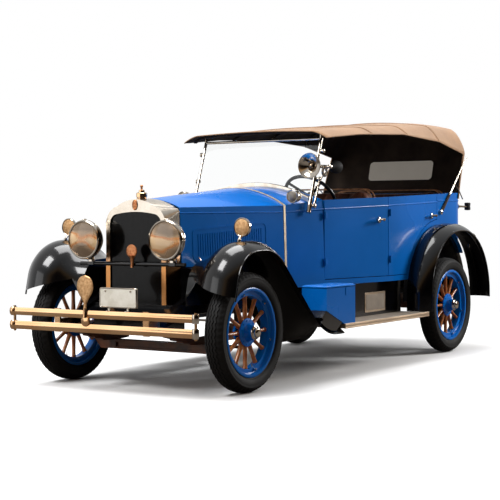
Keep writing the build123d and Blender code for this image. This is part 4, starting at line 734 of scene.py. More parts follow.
class CAR_OT_build_top(bpy.types.Operator):
    """Soft top: one sheet of duck from windscreen to body over the bows, with a black lining"""

    bl_idname = "touring_car.build_top"
    bl_label = "Build the soft top"

    def execute(self, context):
        stations = [TOP_FRONT + (TOP_REAR - TOP_FRONT) * k / TOP_STEPS for k in range(TOP_STEPS + 1)]
        rows = self.rows(stations, context.scene.touring_car.cloth_sag)
        cloth = Piece().add("tan_cloth", net(rows))
        sheet = cloth.build("soft_top_duck", "chassis", "soft_top", "back_curtain", sharp=60, weld=False)
        sheet.data.materials.append(finishes["black_lining"])
        thick = sheet.modifiers.new("cloth", "SOLIDIFY")
        thick.thickness = CLOTH_THICK
        thick.offset = -1.0
        thick.material_offset = 1
        thick.material_offset_rim = 0

        # Hem: the rolled edge, all round the opening
        hem = [row[0] for row in rows] + rows[-1] + [row[-1] for row in reversed(rows)] + rows[0][::-1]
        Piece().bar("tan_cloth", distinct(hem), WELT_RADIUS, 8, closed=True).build("soft_top_hem")

        # Seams over the middle bows, each with a flat strip
        strips = Piece()
        for bow in BOWS[1:4]:
            near = min(range(len(stations)), key=lambda k: abs(stations[k] - bow))
            for ahead in (-0.011, 0.011):
                strips.bar("tan_cloth", [p + Vector((0, ahead, 0.0015)) for p in rows[near]], 0.002, 6)
        strips.build("soft_top_seams")

        # Window of film in the back curtain, framed by a stitched welt
        lower, upper = line(((0, 3.6145, 1.430), (0, 3.6675, 1.605)))
        lean = (upper - lower).normalized()
        place = frame_at((lower + upper) / 2, SIDEWAYS, Vector(SIDEWAYS).cross(lean))
        film = plate(rounded(0.624, 0.175, 0.032), 0.024, 0.001)
        window = Piece().add("grey_film", film, place @ Matrix.Translation((0, 0, -0.012)))
        window.build("rear_window_film", "chassis", "back_window")
        welt = Piece()
        for lift, finish in ((-0.012, "tan_cloth"), (0.012, "black_lining")):
            edge = hoop(place, rounded(0.632, 0.183, 0.036), lift)
            welt.bar(finish, edge, WELT_RADIUS, 8, closed=True)
        welt.build("rear_window_welt")
        return {"FINISHED"}

    def rows(self, stations, sag):
        """Rows of points across the cloth, from the windscreen back and down to the body."""
        rows = []
        for y in stations:
            _, half, edge, crown = between(TOP_ROWS, y)
            near = min(abs(y - bow) for bow in BOWS)
            dip = sag * min(1.0, (near / SAG_REACH) ** 1.5) + CLOTH_THICK
            section = arch(half - CLOTH_THICK, edge, crown - 0.001)
            rows.append([at(x, y, z - dip * (1 - (abs(x) / half) ** 3)) for x, z in section])
        _, half, edge, crown = TOP_ROWS[-1]
        over = arch(half - CLOTH_THICK, edge, crown)
        down = plan(*CURTAIN_HEAD)
        for step in range(1, FOLD_STEPS + 1):
            turn = math.pi / 2 * step / FOLD_STEPS
            rise = math.cos(turn) ** FOLD_POWER
            back = math.sin(turn) ** FOLD_POWER
            share = (step / FOLD_STEPS) ** 1.5
            row = []
            for (ax, az), (px, py) in zip(over, down):
                x = ax + (px - ax) * share
                row.append(at(x, TOP_REAR + (py - TOP_REAR) * back, edge + (az - edge) * rise))
            rows.append(row)
        for step in range(1, DROP_STEPS + 1):
            share = step / DROP_STEPS
            hollow = CURTAIN_HOLLOW * math.sin(math.pi * share)
            spots = plan(*mix(CURTAIN_HEAD, CURTAIN_FOOT, share))
            rows.append([at(x, y - hollow, CURTAIN_TOP_Z - CURTAIN_DROP * share) for x, y in spots])
        return rows


# The bows' section, then the irons of one side: (half-width, station, height) places and lathe profiles
BOW_SECTION = mm([(-20, 0), (-18, 4), (18, 4), (20, 0), (18, -10), (-18, -10)])
BOW_STUB = ((0.510, 1.340, 1.684), (0.510, 1.340, 1.722))
STRUT = ((0.674, 3.035, 1.150), (0.672, 3.20, 1.299), (0.669, 3.38, 1.462), (0.666, 3.555, 1.620))
BRACE = ((0.671, 3.30, 1.390), (0.668, 3.40, 1.33), (0.668, 3.47, 1.262))
REST_ARM = ((0.600, 3.497, 1.200), (0.600, 3.60, 1.200), (0.600, 3.70, 1.196), (0.600, 3.735, 1.200))
PIVOT = mm([(-14, 0.2), (-14, 20), (-4, 22), (4, 20), (9, 12), (11, 0.2)])
KNUCKLE = mm([(-6, 0.2), (-6, 12), (6, 12), (8, 0.2)])
FLANGE = mm([(-12, 0.2), (-12, 24), (2, 24), (6, 14), (8, 0.2)])
REST_PAD = mirrored(mm([(-34, 0.2), (-32, 24), (-24, 27)]), mm([(0, 24)]))


class CAR_OT_build_irons(bpy.types.Operator):
    """Bows under the cloth, nickel struts with their pivots, and the rests for the folded top"""

    bl_idname = "touring_car.build_irons"
    bl_label = "Build the top irons"

    def execute(self, context):
        piece = Piece()
        for station in BOWS[:4]:
            _, half, edge, crown = between(TOP_ROWS, station)
            rows = []
            for x, z in arch(half - 0.016, edge + 0.004, crown - 0.017, 30):
                rows.append([at(x, station + a, z - 0.004 + b) for a, b in BOW_SECTION])
            piece.add("black_lining", net(rows, ring=True))
        for sign, _ in SIDES:
            outward = (sign, 0, 0)
            strut = line(STRUT, sign)
            piece.bar("nickel", line(BOW_STUB, sign), 0.012, 12)
            piece.bar("nickel", strut[1:], [0.0085, 0.0075, 0.007], 12)
            piece.bar("black_lining", strut[:2], [0.0115, 0.0105], 12)
            piece.bar("nickel", line(BRACE, sign), 0.005, 8)
            piece.lathe("nickel", PIVOT, 24, strut[0], outward)
            piece.lathe("nickel", KNUCKLE, 16, at(sign * 0.6705, 3.29, 1.381), outward)
            piece.bar("nickel", line(REST_ARM, sign), [0.012, 0.009, 0.009, 0.010], 12)
            piece.lathe("nickel", FLANGE, 24, at(sign * 0.600, 3.502, 1.200), BACK)
            piece.lathe("tyre_rubber", REST_PAD, 24, at(sign * 0.600, 3.725, 1.200), UP)
        piece.build("top_bows_and_irons", "chassis", "top_irons")
        return {"FINISHED"}


PADS = (
    # name, low corner, high corner, backward lean of the top
    ("front_seat_cushion", (-0.498, 1.600, 0.905), (0.498, 2.060, 1.035), 0.0),
    ("front_seat_back", (-0.515, 2.010, 1.000), (0.515, 2.145, 1.345), 0.105),
    ("rear_seat_cushion", (-0.538, 2.770, 0.905), (0.538, 3.260, 1.035), 0.0),
    ("rear_seat_back", (-0.538, 3.225, 1.000), (0.538, 3.385, 1.352), 0.100),
)
SEAT_BOXES = (
    # low corner, high corner
    ((-0.500, 1.612, 0.646), (0.500, 2.105, 0.905)),
    ((-0.540, 2.792, 0.726), (0.540, 3.268, 0.905)),
)
CUSHION_CORNER = 0.06
BACK_CORNER = 0.10
PAD_VOXEL = 0.012
PIPING_RADIUS = 0.006
SWELL_FRAMES = 20

# Sewn channels of the pads, which end at a margin from each side
CHANNEL_PITCH = 0.1035
CHANNEL_DEPTH = 0.010
CHANNEL_WIDTH = 0.009
CHANNEL_MARGIN = 0.045


class CAR_OT_build_seats(bpy.types.Operator):
    """Leather seats: cushions and backs swollen by pressure, sewn and piped"""

    bl_idname = "touring_car.build_seats"
    bl_label = "Build the seats"

    def execute(self, context):
        swell = context.scene.touring_car.pad_swell
        for name, low, high, lean in PADS:
            wide, long, tall = [b - a for a, b in zip(low, high)]
            upright = lean > 0
            face, deep, corner = (tall, long, BACK_CORNER) if upright else (long, tall, CUSHION_CORNER)
            deep -= 2 * swell * 0.7
            centre = at(*[(a + b) / 2 for a, b in zip(low, high)])
            place = frame_at(centre, SIDEWAYS, BACK if upright else UP)
            block = place @ Matrix.Translation((0, 0, -deep / 2))
            cushion = plate(rounded(wide - 2 * swell, face - 2 * swell, corner, 8), deep, 0.02)
            pad = Piece().add("brown_leather", cushion, block).build(name, "chassis", sharp=180)
            remesh = pad.modifiers.new("voxels", "REMESH")
            remesh.mode = "VOXEL"
            remesh.voxel_size = PAD_VOXEL
            self.freeze(context, pad)
            rest = [vertex.co.copy() for vertex in pad.data.vertices]
            self.inflate(context, pad)
            inverse = block.inverted()
            for vertex, old in zip(pad.data.vertices, rest):
                move = vertex.co - old
                if move.length > swell:
                    vertex.co = old + move.normalized() * swell
                local = inverse @ vertex.co
                # The channels are on the side that is sat on or leaned on
                worked = local.z < deep * 0.4 if upright else local.z > deep * 0.6
                if worked:
                    pitch = (local.x + wide / 2) / CHANNEL_PITCH
                    trench = math.exp(-(((pitch - round(pitch)) * CHANNEL_PITCH / CHANNEL_WIDTH) ** 2))
                    inside = min(1.0, max(0.0, (wide / 2 - CHANNEL_MARGIN - abs(local.x)) / 0.02))
                    local.z += (CHANNEL_DEPTH if upright else -CHANNEL_DEPTH) * trench * inside
                vertex.co = block @ local
                vertex.co.y += lean * (vertex.co.z - low[2]) / tall
            pad.data.shade_smooth()
            even = pad.modifiers.new("even", "SUBSURF")
            even.levels = even.render_levels = 1

            edge = hoop(place, rounded(wide - 0.02, face - 0.02, corner, 8))
            for spot in edge:
                spot.y += lean * (spot.z - low[2]) / tall
            shifts = ((0, -0.030, 0), (0, 0.030, 0)) if upright else ((0, 0, 0.045),)
            welt = Piece()
            for shift in shifts:
                welt.bar("piping", [spot + Vector(shift) for spot in edge], PIPING_RADIUS, 8, closed=True)
            welt.build(name + "_piping")
        base = Piece()
        for low, high in SEAT_BOXES:
            wide, long, tall = [b - a for a, b in zip(low, high)]
            foot = Matrix.Translation(at(0, (low[1] + high[1]) / 2, low[2]))
            base.add("brown_leather", plate(rounded(wide, long, 0.03, 5), tall, 0.008), foot)
        base.build("seat_boxes", "chassis", "front_seat", "rear_seat")
        return {"FINISHED"}

    def inflate(self, context, pad):
        """Swells a pad by pressure, as its stuffing does."""
        cloth = pad.modifiers.new("cloth", "CLOTH")
        cloth.settings.use_pressure = True
        cloth.settings.uniform_pressure_force = 4.0
        cloth.settings.effector_weights.gravity = 0.0
        cloth.point_cache.frame_start = 1
        cloth.point_cache.frame_end = SWELL_FRAMES
        for step in range(1, SWELL_FRAMES + 1):
            context.scene.frame_set(step)
        self.freeze(context, pad)
        context.scene.frame_set(1)

    def freeze(self, context, made):
        """Applies the modifiers to the mesh."""
        shaped = bpy.data.meshes.new_from_object(made.evaluated_get(context.evaluated_depsgraph_get()))
        made.modifiers.clear()
        made.data = shaped


# The radiator core's outline: a shallow crown, then a rounded corner on each side
CORE_HALF = 0.212
CORE_TOP = 1.163
CORE_SPRING = 1.078
CROWN_HALF = 0.150
CROWN_RISE = 0.014
CORNER_WIDE = 0.062
CORNER_TALL = 0.071
CORE_FOOT = 0.561
FINS = 61
FIN_HALF = 0.0011
CORE_TUBES = 40
TUBE_PITCH = 0.0148

# Lathe profiles of the front, as (x along the axis, radius)
FILLER_CAP = mm([
    (-10, 36), (6, 36), (10, 31), (14, 31), (18, 36), (42, 36), (47, 31), (50, 20), (62, 19), (66, 13),
    (66, 0.2),
])
BROW = mm([(-3, 34), (3, 35), (6, 31), (4, 29), (5, 0.2)])
LAMP_RIM = mm([
    (-30, 128.5), (-26, 131), (-4, 131), (3, 128.5), (6, 123), (4, 117.5), (-2, 115.5), (-6, 120),
])
LAMP_LENS = mm([(0.5, 117), (6, 100), (10.5, 70), (13, 35), (13.5, 0.2)])
LAMP_CLIP = mm([(-18, 0.2), (-18, 8), (6, 8), (9, 5), (10, 0.2)])
LAMP_SEAM = mm([(-3, 112), (-2, 121.5), (2, 121.5), (3, 112)])
LAMP_NUT = mm([(0, 24), (12, 24), (16, 20), (30, 17.5), (34, 15)])
MEDAL = mm([(-4, 0.2), (-4, 40), (0, 43), (5, 42), (6, 38), (4, 36), (5, 0.2)])
PADDLE_CLAMP = mm([(-14, 0.2), (-14, 30), (-4, 34), (2, 32), (5, 22), (6, 0.2)])
PLATE_BOLT = mm([(-4, 3.2), (3, 3.2), (3, 7.5), (6, 6.5), (7.5, 0.2)])

# The badge's place across the bumper; the bumper's bars as low and high edges; the plate's face and centre
PADDLE_X = -0.115
PADDLE_Y = -0.588
BUMPER_BARS = ((0.393, 0.448), (0.486, 0.536))
BAR_Y = -0.572
PLATE_Y = -0.5665
PLATE_X = 0.136
PLATE_BOLT_REACH = 0.100


def corner_share(run, reach):
    """Height of a quarter ellipse at a run along its base, as a share of its full height."""
    return math.sqrt(max(0, 1 - (run / reach) ** 2))


def core_top(across):
    """Height of the radiator core's top edge at a half-width."""
    if across < CROWN_HALF:
        return CORE_TOP - CROWN_RISE * (across / CROWN_HALF) ** 2
    return CORE_SPRING + CORNER_TALL * corner_share(across - CROWN_HALF, CORNER_WIDE)


def core_reach(z):
    """Half-width of the radiator core at a height."""
    if z < CORE_SPRING:
        return CORE_HALF - 0.001
    return CORE_HALF - CORNER_WIDE + CORNER_WIDE * corner_share(z - CORE_SPRING, CORNER_TALL)


class CAR_OT_build_front(bpy.types.Operator):
    """Radiator fins and cap, valance, lamp rims and lenses, medal, bumper paddle and end caps, plate frame"""

    bl_idname = "touring_car.build_front"
    bl_label = "Build the front"

    def execute(self, context):
        self.radiator()
        self.lamps()
        self.bumper()
        return {"FINISHED"}

    def radiator(self):
        """Fins and tubes of the core, the pan below it and the cap above it."""
        core = Piece()
        for step in range(FINS):
            x = -CORE_HALF + 0.004 + (2 * CORE_HALF - 0.008) * step / (FINS - 1)
            high = core_top(abs(x)) - 0.001
            fin = [(-FIN_HALF, CORE_FOOT), (FIN_HALF, CORE_FOOT), (FIN_HALF, high), (-FIN_HALF, high)]
            core.add("black_paint", plate(fin, 0.010), frame_at(at(x, -0.190, 0), SIDEWAYS, FORWARD))
        for step in range(CORE_TUBES):
            z = 0.568 + TUBE_PITCH * step
            reach = core_reach(z)
            core.bar("black_paint", line(((-reach, -0.186, z), (reach, -0.186, z))), 0.0022, 8)
        core.build("radiator_fins")

        pan = plate(rounded(0.750, 0.196, 0.030, 5), 0.003, 0.001)
        valance = Piece().add("black_paint", pan, frame_at(at(0, -0.188, 0.462), SIDEWAYS, BACK))
        valance.build("front_valance")

        cap = Piece()
        cap.lathe("worn_nickel", FILLER_CAP, 10, at(0, -0.140, 1.242), UP)
        mast = [at(0, -0.140, z) for z in (1.296, 1.308, 1.322, 1.334, 1.340)]
        cap.bar("copper", mast, [0.010, 0.006, 0.0075, 0.011, 0.004], 14)
        oval = frame_at(at(0, -0.2125, 1.208), FORWARD, UP) @ Matrix.Diagonal((1, 0.62, 1, 1))
        cap.add("copper", turned(BROW, 40), oval)
        cap.build("radiator_cap")

    def lamps(self):
        """Rims, lenses and fittings of the headlamps, and the medal on their bar."""
        lamps = Piece()
        for sign, _ in SIDES:
            x = sign * LAMP_X
            lamps.lathe("nickel", LAMP_RIM, 80, at(x, -0.338, LAMP_Z), FORWARD, ring=True)
            lamps.lathe("lens", LAMP_LENS, 80, at(x, -0.338, LAMP_Z), FORWARD)
            lamps.lathe("nickel", LAMP_CLIP, 12, at(x, -0.330, 1.112), FORWARD)
            lamps.lathe("nickel", LAMP_SEAM, 64, at(x, -0.288, LAMP_Z), FORWARD)
            lamps.lathe("nickel", LAMP_NUT, 6, at(x, -0.250, 0.835), UP)
        lamps.build("headlamp_rims")
        medal = Piece()
        medal.lathe("copper", MEDAL, 48, at(0.020, -0.275, 0.9075), FORWARD)
        stem = [at(0.020, -0.272, z) for z in (0.880, 0.862, 0.842, 0.822, 0.800)]
        medal.bar("copper", stem, [0.026, 0.016, 0.011, 0.010, 0.012], 14)
        medal.build("lamp_bar_medal")

    def bumper(self):
        """Blank paddle badge and end caps of the bumper bars, and the blank plate in its frame."""
        badge = Piece()
        rows = []
        for step in range(25):
            share = step / 24
            wide = 0.013 + 0.055 * math.sin(math.pi / 2 * min(1.0, max(0.0, share - 0.16) / 0.5)) ** 1.4
            wide *= math.sqrt(max(0.002, 1 - (max(0.0, share - 0.62) / 0.38) ** 2.4))
            z = 0.545 + 0.215 * share
            rows.append([at(PADDLE_X + x, PADDLE_Y + y, z) for x, y in circle(20, wide, 0.007)])
        badge.add("bronze", net(rows, ring=True))
        badge.lathe("worn_nickel", PADDLE_CLAMP, 40, at(PADDLE_X, -0.590, 0.466), FORWARD)
        handle = [at(PADDLE_X, PADDLE_Y, z) for z in (0.49, 0.52, 0.552)]
        badge.bar("worn_nickel", handle, [0.017, 0.014, 0.0135], 14)
        for low, high in BUMPER_BARS:
            z = (low + high) / 2
            reach = (high - low) / 2
            knob = [(-reach - 0.004, 0.0002), (-reach - 0.003, 0.018), (-reach * 0.7, 0.0265)]
            badge.lathe("worn_nickel", mirrored(knob, [(0, 0.029)]), 28, at(-0.742, BAR_Y, z), UP)
            tip = [(-reach - 0.003, 0.0002), (-reach - 0.003, 0.020), (-reach + 0.003, 0.022)]
            badge.lathe("nickel", mirrored(tip), 24, at(0.735, BAR_Y, z), UP)
        badge.build("bumper_paddle_badge")

        place = frame_at(at(PLATE_X, PLATE_Y, 0.6215), SIDEWAYS, FORWARD)
        holder = Piece().add("plate_enamel", plate(rounded(0.286, 0.117, 0.010, 4), 0.002, 0.0004), place)
        holder.bar("nickel", hoop(place, rounded(0.288, 0.119, 0.010, 4)), 0.0045, 8, closed=True)
        for side in (-1, 1):
            bolt = at(PLATE_X + side * PLATE_BOLT_REACH, PLATE_Y, 0.665)
            holder.lathe("nickel", PLATE_BOLT, 10, bolt, FORWARD)
        holder.build("plate_frame")


# The windscreen's fittings on one side, and the section of its lower rail
SCREEN_ARM = ((0.535, 1.190, 1.205), (0.540, 1.225, 1.290), (0.540, 1.265, 1.400))
SCREEN_FOOT = ((0.510, 1.150, 1.150), (0.510, 1.168, 1.200), (0.510, 1.190, 1.262))
SCREEN_KNOB = mm([(-4, 0.2), (-4, 13), (12, 11), (16, 16), (26, 16), (29, 12), (30, 0.2)])
RAIL_SECTION = mm([(-13.5, 16), (-15.5, -4), (-13, -22), (12.5, -22), (13.5, 2), (9, 18)])

# Lathe profiles of the cowl lamps, the fender mirrors and the horn
COWL_LAMP_RIM = mm([(-12, 46.5), (0, 47.5), (3, 45), (2, 41), (-3, 40)])
COWL_LAMP_LENS = mm([(0.5, 40.5), (5, 30), (7.2, 15), (7.8, 0.2)])
MIRROR_RIM = mm([(-17, 56), (-14, 61.5), (1, 61.5), (5, 57), (3, 54)])
MIRROR_FACE = mm([(1, 54.5), (3.5, 40), (5.5, 20), (6, 0.2)])
MIRROR_STALK = ((0.720, -0.070, 0.976), (0.720, -0.062, 0.988), (0.720, -0.036, 1.006))
HORN_LIP = mm([(-4, 86), (-5, 90), (1, 92), (5, 88), (2, 84)])
HORN_LINER = mm([(0, 83.5), (6, 72), (20, 55), (45, 38), (80, 24), (110, 16), (112, 0.2)])
HORN_BULB = mm([
    (-6, 14), (0, 22), (12, 25), (30, 34), (55, 44), (80, 48), (104, 46), (120, 36), (127, 18),
    (128, 0.2),
])
BULB_COLLAR = mm([(-18, 13), (-16, 18), (-4, 19), (0, 16)])
HORN_X = 0.560
HORN_Z = 1.485
COIL_RADIUS = 0.034
COIL_STEPS = 32


class CAR_OT_build_screen(bpy.types.Operator):
    """Windscreen stanchions, knobs and lower rail, cowl lamp lenses, fender mirrors, horn lip and bulb"""

    bl_idname = "touring_car.build_screen"
    bl_label = "Build the screen fittings"

    def execute(self, context):
        screen = Piece()
        for sign, _ in SIDES:
            screen.bar("nickel", line(SCREEN_ARM, sign), [0.009, 0.0075, 0.006], 12)
            for y, z in ((1.190, 1.200), (1.262, 1.395), (1.320, 1.600)):
                screen.lathe("nickel", SCREEN_KNOB, 16, at(sign * 0.520, y, z), (sign, 0, 0))
            screen.bar("nickel", line(SCREEN_FOOT, sign), [0.019, 0.016, 0.0135], 14)
        # Lower rail, which lies along the cowl's crown and leans with the screen
        rows = []
        for step in range(41):
            x = -0.500 + step / 40
            z = 1.359 - 0.116 * (x / 0.510) ** 2
            y = 1.340 - (1.690 - z) * 0.3519
            rows.append([at(x, y + a, z + b) for a, b in RAIL_SECTION])
        screen.add("nickel", net(rows, ring=True))
        screen.build("windscreen_stanchions")

        lamps = Piece()
        mirrors = Piece()
        for sign, _ in SIDES:
            lamp = at(sign * 0.478, 0.980, 1.268)
            lamps.lathe("nickel", COWL_LAMP_RIM, 48, lamp, FORWARD)
            lamps.lathe("frosted_lens", COWL_LAMP_LENS, 48, lamp, FORWARD)
            mirror = at(sign * 0.720, -0.036, 1.060)
            mirrors.lathe("nickel", MIRROR_RIM, 48, mirror, FORWARD)
            mirrors.lathe("bronze", MIRROR_FACE, 48, mirror, FORWARD)
            mirrors.bar("nickel", line(MIRROR_STALK, sign), [0.011, 0.0078, 0.0072], 12)
        lamps.build("cowl_lamp_lenses")
        mirrors.build("fender_mirror_faces")

        horn = Piece()
        mouth = at(HORN_X, 1.082, HORN_Z)
        horn.lathe("nickel", HORN_LIP, 56, mouth, BACK, ring=True)
        horn.lathe("brushed_nickel", HORN_LINER, 48, mouth, BACK)
        coil = []
        for step in range(COIL_STEPS + 1):
            turn = 2 * math.pi * step / COIL_STEPS
            y = 1.285 + COIL_RADIUS * math.sin(turn)
            z = HORN_Z - COIL_RADIUS + COIL_RADIUS * math.cos(turn)
            coil.append(at(HORN_X + 0.0005 * step, y, z))
        horn.bar("nickel", coil, 0.0095)
        neck = at(HORN_X, 1.385, HORN_Z)
        horn.lathe("tyre_rubber", HORN_BULB, 40, neck, BACK)
        horn.lathe("nickel", BULB_COLLAR, 24, neck, BACK)
        horn.build("horn_lip_and_bulb")
        return {"FINISHED"}


# Crown lines of the fenders: (station, height)
FRONT_CORNERS = ((-0.385, 0.620), (-0.300, 0.965), (0.170, 0.982), (0.800, 0.370), (1.050, 0.370))
REAR_CORNERS = ((2.400, 0.370), (2.420, 1.060), (3.640, 1.060), (3.650, 0.430))
FRONT_LINE = filleted(FRONT_CORNERS, (0.300, 0.400, 0.350))
REAR_LINE = filleted(REAR_CORNERS, (0.590, 0.590), 16)
LIP_X = 0.8605
LIP_DROP = 0.061
LIP_RADIUS = 0.0055

DOORS = (
    # name, station and height of the handle, first and last station of the lining
    ("front", 2.000, 1.095, 1.385, 2.085),
    ("rear", 2.880, 1.122, 2.135, 2.560),
)
HANDLE_ROSE = mm([
    (0, 0.2), (0, 23.5), (4, 24.5), (8, 19), (10, 11.5), (30, 9.5), (33, 12), (43, 12), (46, 9),
    (47, 0.2),
])
HANDLE_LEVER = mm([(36, 14, 0), (36, -30, 3), (35, -70, 1), (33, -97, -4)])
HOOD_CATCH = mm([(0, 806), (10, 820), (10, 846), (0, 858)])
CATCH_RADII = [0.006, 0.005, 0.005, 0.006]
BOARD_EDGE = mm([
    (852, 371.5), (856, 374.5), (863, 374.5), (866.5, 371), (866.5, 339.5), (864, 338), (862, 339.5),
    (862, 369.5),
])
BOARD_START = 1.052
BOARD_END = 2.395
TAIL_RIM = mm([(-8, 38.5), (-2, 39.5), (3, 38), (3, 34)])
TAIL_LENS = mm([(0, 34.5), (4, 28), (7, 14), (7.8, 0.2)])


def lip_line(crown, x, low=0.0):
    """Points that follow a fender's crown line, dropped towards the wheel, where they stay above a height."""
    spots = []
    for i, point in enumerate(crown):
        along = (crown[min(i + 1, len(crown) - 1)] - crown[max(i - 1, 0)]).normalized()
        spot = point + Vector((along.y, -along.x)) * LIP_DROP
        if spot.y > low:
            spots.append(at(x, spot.x, spot.y))
    return spots


class CAR_OT_build_trim(bpy.types.Operator):
    """Fender lips, toolbox packing, handles, board mouldings, step plates, hood catches, tail lamp lens"""

    bl_idname = "touring_car.build_trim"
    bl_label = "Build the body trim"

    def execute(self, context):
        lips = Piece()
        for sign, _ in SIDES:
            lips.bar("black_paint", lip_line(FRONT_LINE, sign * LIP_X, 0.60), LIP_RADIUS)
            lips.bar("black_paint", lip_line(REAR_LINE, sign * LIP_X), LIP_RADIUS)
        lips.build("fender_lips")

        # Black packing that fills the wedge between the toolbox's sloping bottom and the fender's tail
        packing = Piece()
        tail = [p for p in reversed(FRONT_LINE) if 0.73 < p.x < 1.02]
        for x, depth, sink in ((0.668, 0.188, -0.002), (0.8455, 0.0115, 0.036)):
            outline = [(0.797, 0.4785), (1.02, 0.386)] + [(p.x, p.y - sink) for p in tail]
            packing.add("black_paint", plate(outline, depth, 0.0008), frame_at(at(x, 0, 0), BACK, SIDEWAYS))
        packing.build("toolbox_packing")

        for sign, side in SIDES:
            for door, y, z, _, _ in DOORS:
                x = side_x(y)
                piece = Piece()
                piece.lathe("nickel", HANDLE_ROSE, 28, at(sign * (x + 0.0005), y, z), (sign, 0, 0))
                lever = [(x + out, y + back, z + rise) for out, back, rise in HANDLE_LEVER]
                piece.bar("nickel", line(lever, sign), [0.0105, 0.0088, 0.0085, 0.0100], 14)
                piece.build(f"{side}_{door}_door_handle", f"{side}_{door}_door")

        boards = Piece()
        plates = Piece()
        for sign, _ in SIDES:
            stations = (BOARD_START, (BOARD_START + BOARD_END) / 2, BOARD_END)
            edge = [[at(sign * x, y, z) for x, z in BOARD_EDGE] for y in stations]
            boards.add("aluminium", net(edge, ring=True))
            for z in (0.346, 0.366):
                bead = ((0.8668, BOARD_START, z), (0.8668, BOARD_END, z))
                boards.bar("aluminium", line(bead, sign), 0.0018, 6)
            for y, finish, wide, tall, corner, steps, thick in (
                (1.960, "aluminium", 0.330, 0.150, 0.010, 4, 0.004),
                (1.960, "board_rubber", 0.298, 0.118, 0.006, 4, 0.0055),
                (1.300, "aluminium", 0.022, 0.150, 0.004, 3, 0.004),
            ):
                place = frame_at(at(sign * 0.618, y, 0.470), BACK, (sign, 0, 0))
                plates.add(finish, plate(rounded(wide, tall, corner, steps), thick, 0.001), place)
        boards.build("board_mouldings")
        plates.build("apron_step_plates")

        for sign, side in SIDES:
            piece = Piece()
            for y in (0.085, 0.700):
                catch = [(side_x(y) + 0.006 + out, y, z) for out, z in HOOD_CATCH]
                piece.bar("nickel", line(catch, sign), CATCH_RADII)
            piece.build(f"{side}_hood_catches", f"{side}_hood_leaf")

        lamp = at(0.720, 3.545, 0.932)
        tail_lamp = Piece().lathe("nickel", TAIL_RIM, 40, lamp, BACK).lathe("ruby", TAIL_LENS, 40, lamp, BACK)
        tail_lamp.build("tail_lamp_lens")
        return {"FINISHED"}


# Half ellipse over each rear wheel: station and height of its centre, and its half-axes
WHEELHOUSE_PLACE = (3.025, 0.470)
WHEELHOUSE_SIZE = (0.596, 0.560)
WHEELHOUSE_STEPS = 24


class CAR_OT_build_wheelhouses(bpy.types.Operator):
    """Black inner panels behind the rear wheels, which close the arches to the body"""

    bl_idname = "touring_car.build_wheelhouses"
    bl_label = "Build the wheelhouses"

    def execute(self, context):
        outline = [(2.425, 0.440)]
        for step in range(WHEELHOUSE_STEPS + 1):
            angle = math.pi - math.pi * step / WHEELHOUSE_STEPS
            y = WHEELHOUSE_PLACE[0] + WHEELHOUSE_SIZE[0] * math.cos(angle)
            outline.append((y, WHEELHOUSE_PLACE[1] + WHEELHOUSE_SIZE[1] * math.sin(angle)))
        outline.append((3.600, 0.440))
        for sign, side in SIDES:
            panel = plate([(y, z * sign) for y, z in outline], 0.003, 0.0008)
            place = frame_at(at(sign * 0.6215, 0, 0), BACK, (sign, 0, 0))
            Piece().add("black_paint", panel, place).build(f"{side}_wheelhouse")
        return {"FINISHED"}


DIALS = (
    # place across the car, radius
    (0.29, 0.052),
    (0.14, 0.034),
    (0.02, 0.040),
    (-0.10, 0.034),
)
DIAL_Z = 1.195


class CAR_OT_build_cabin(bpy.types.Operator):
    """Dials on the dashboard and leather linings on the doors"""

    bl_idname = "touring_car.build_cabin"
    bl_label = "Build the cabin"

    def execute(self, context):
        dash = Piece()
        for x, r in DIALS:
            centre = at(x, 1.306, DIAL_Z)
            bezel = [(0, r + 0.006), (0.008, r + 0.005), (0.011, r), (0.009, r - 0.004)]
            dash.lathe("nickel", bezel, 40, centre, BACK)
            dash.lathe("plate_enamel", [(0.006, r - 0.003), (0.0065, 0.0002)], 40, centre, BACK)
            needle = line(((x, 1.3135, DIAL_Z), (x - r * 0.5, 1.3135, DIAL_Z + r * 0.45)))
            dash.bar("black_paint", needle, [0.0022, 0.0006], 6)
        dash.build("dash_dials")
        for sign, side in SIDES:
            for door, _, _, start, end in DOORS:
                middle = (start + end) / 2
                along = Vector((sign * (side_x(end) - side_x(start)), end - start, 0)).normalized()
                inward = Vector((-sign * along.y, sign * along.x, 0))
                place = frame_at(at(sign * side_x(middle), middle, 0.955) + inward * 0.0345, along, inward)
                panel = plate(rounded(end - start - 0.04, 0.50, 0.04, 5), 0.007, 0.003)
                pocket = plate(rounded((end - start) * 0.6, 0.16, 0.03, 5), 0.012, 0.003)
                piece = Piece().add("brown_leather", panel, place)
                piece.add("brown_leather", pocket, place @ Matrix.Translation((0, -0.12, 0)))
                piece.build(f"{side}_{door}_door_lining", f"{side}_{door}_door")
        return {"FINISHED"}


SOFTBOXES = (
    # name, place, target, width, watts
    ("key_softbox", (-2.5, -7.0, 8.5), (0, -0.8, 0.8), 4.0, 800.0),
    ("rear_softbox", (3.9, 4.0, 2.8), (0.6, 1.1, 0.9), 1.6, 210.0),
    ("top_softbox", (-1.0, 0.5, 9.0), (0, 0, 1.0), 5.0, 620.0),
    ("front_softbox", (-5.0, -9.5, 2.2), (0.0, -2.0, 0.8), 5.0, 120.0),
)

# The photograph's camera, as fitted to it: place, and angles in degrees
CAMERA_PLACE = at(5.459, -7.230, 1.144)
CAMERA_YAW = 33.5
CAMERA_PITCH = -1.519
CAMERA_ROLL = -0.32
CAMERA_SHIFT = 0.022

# Distances from the car where the paper starts to fade and where it is gone
FADE_START = 2.6
FADE_END = 6.5


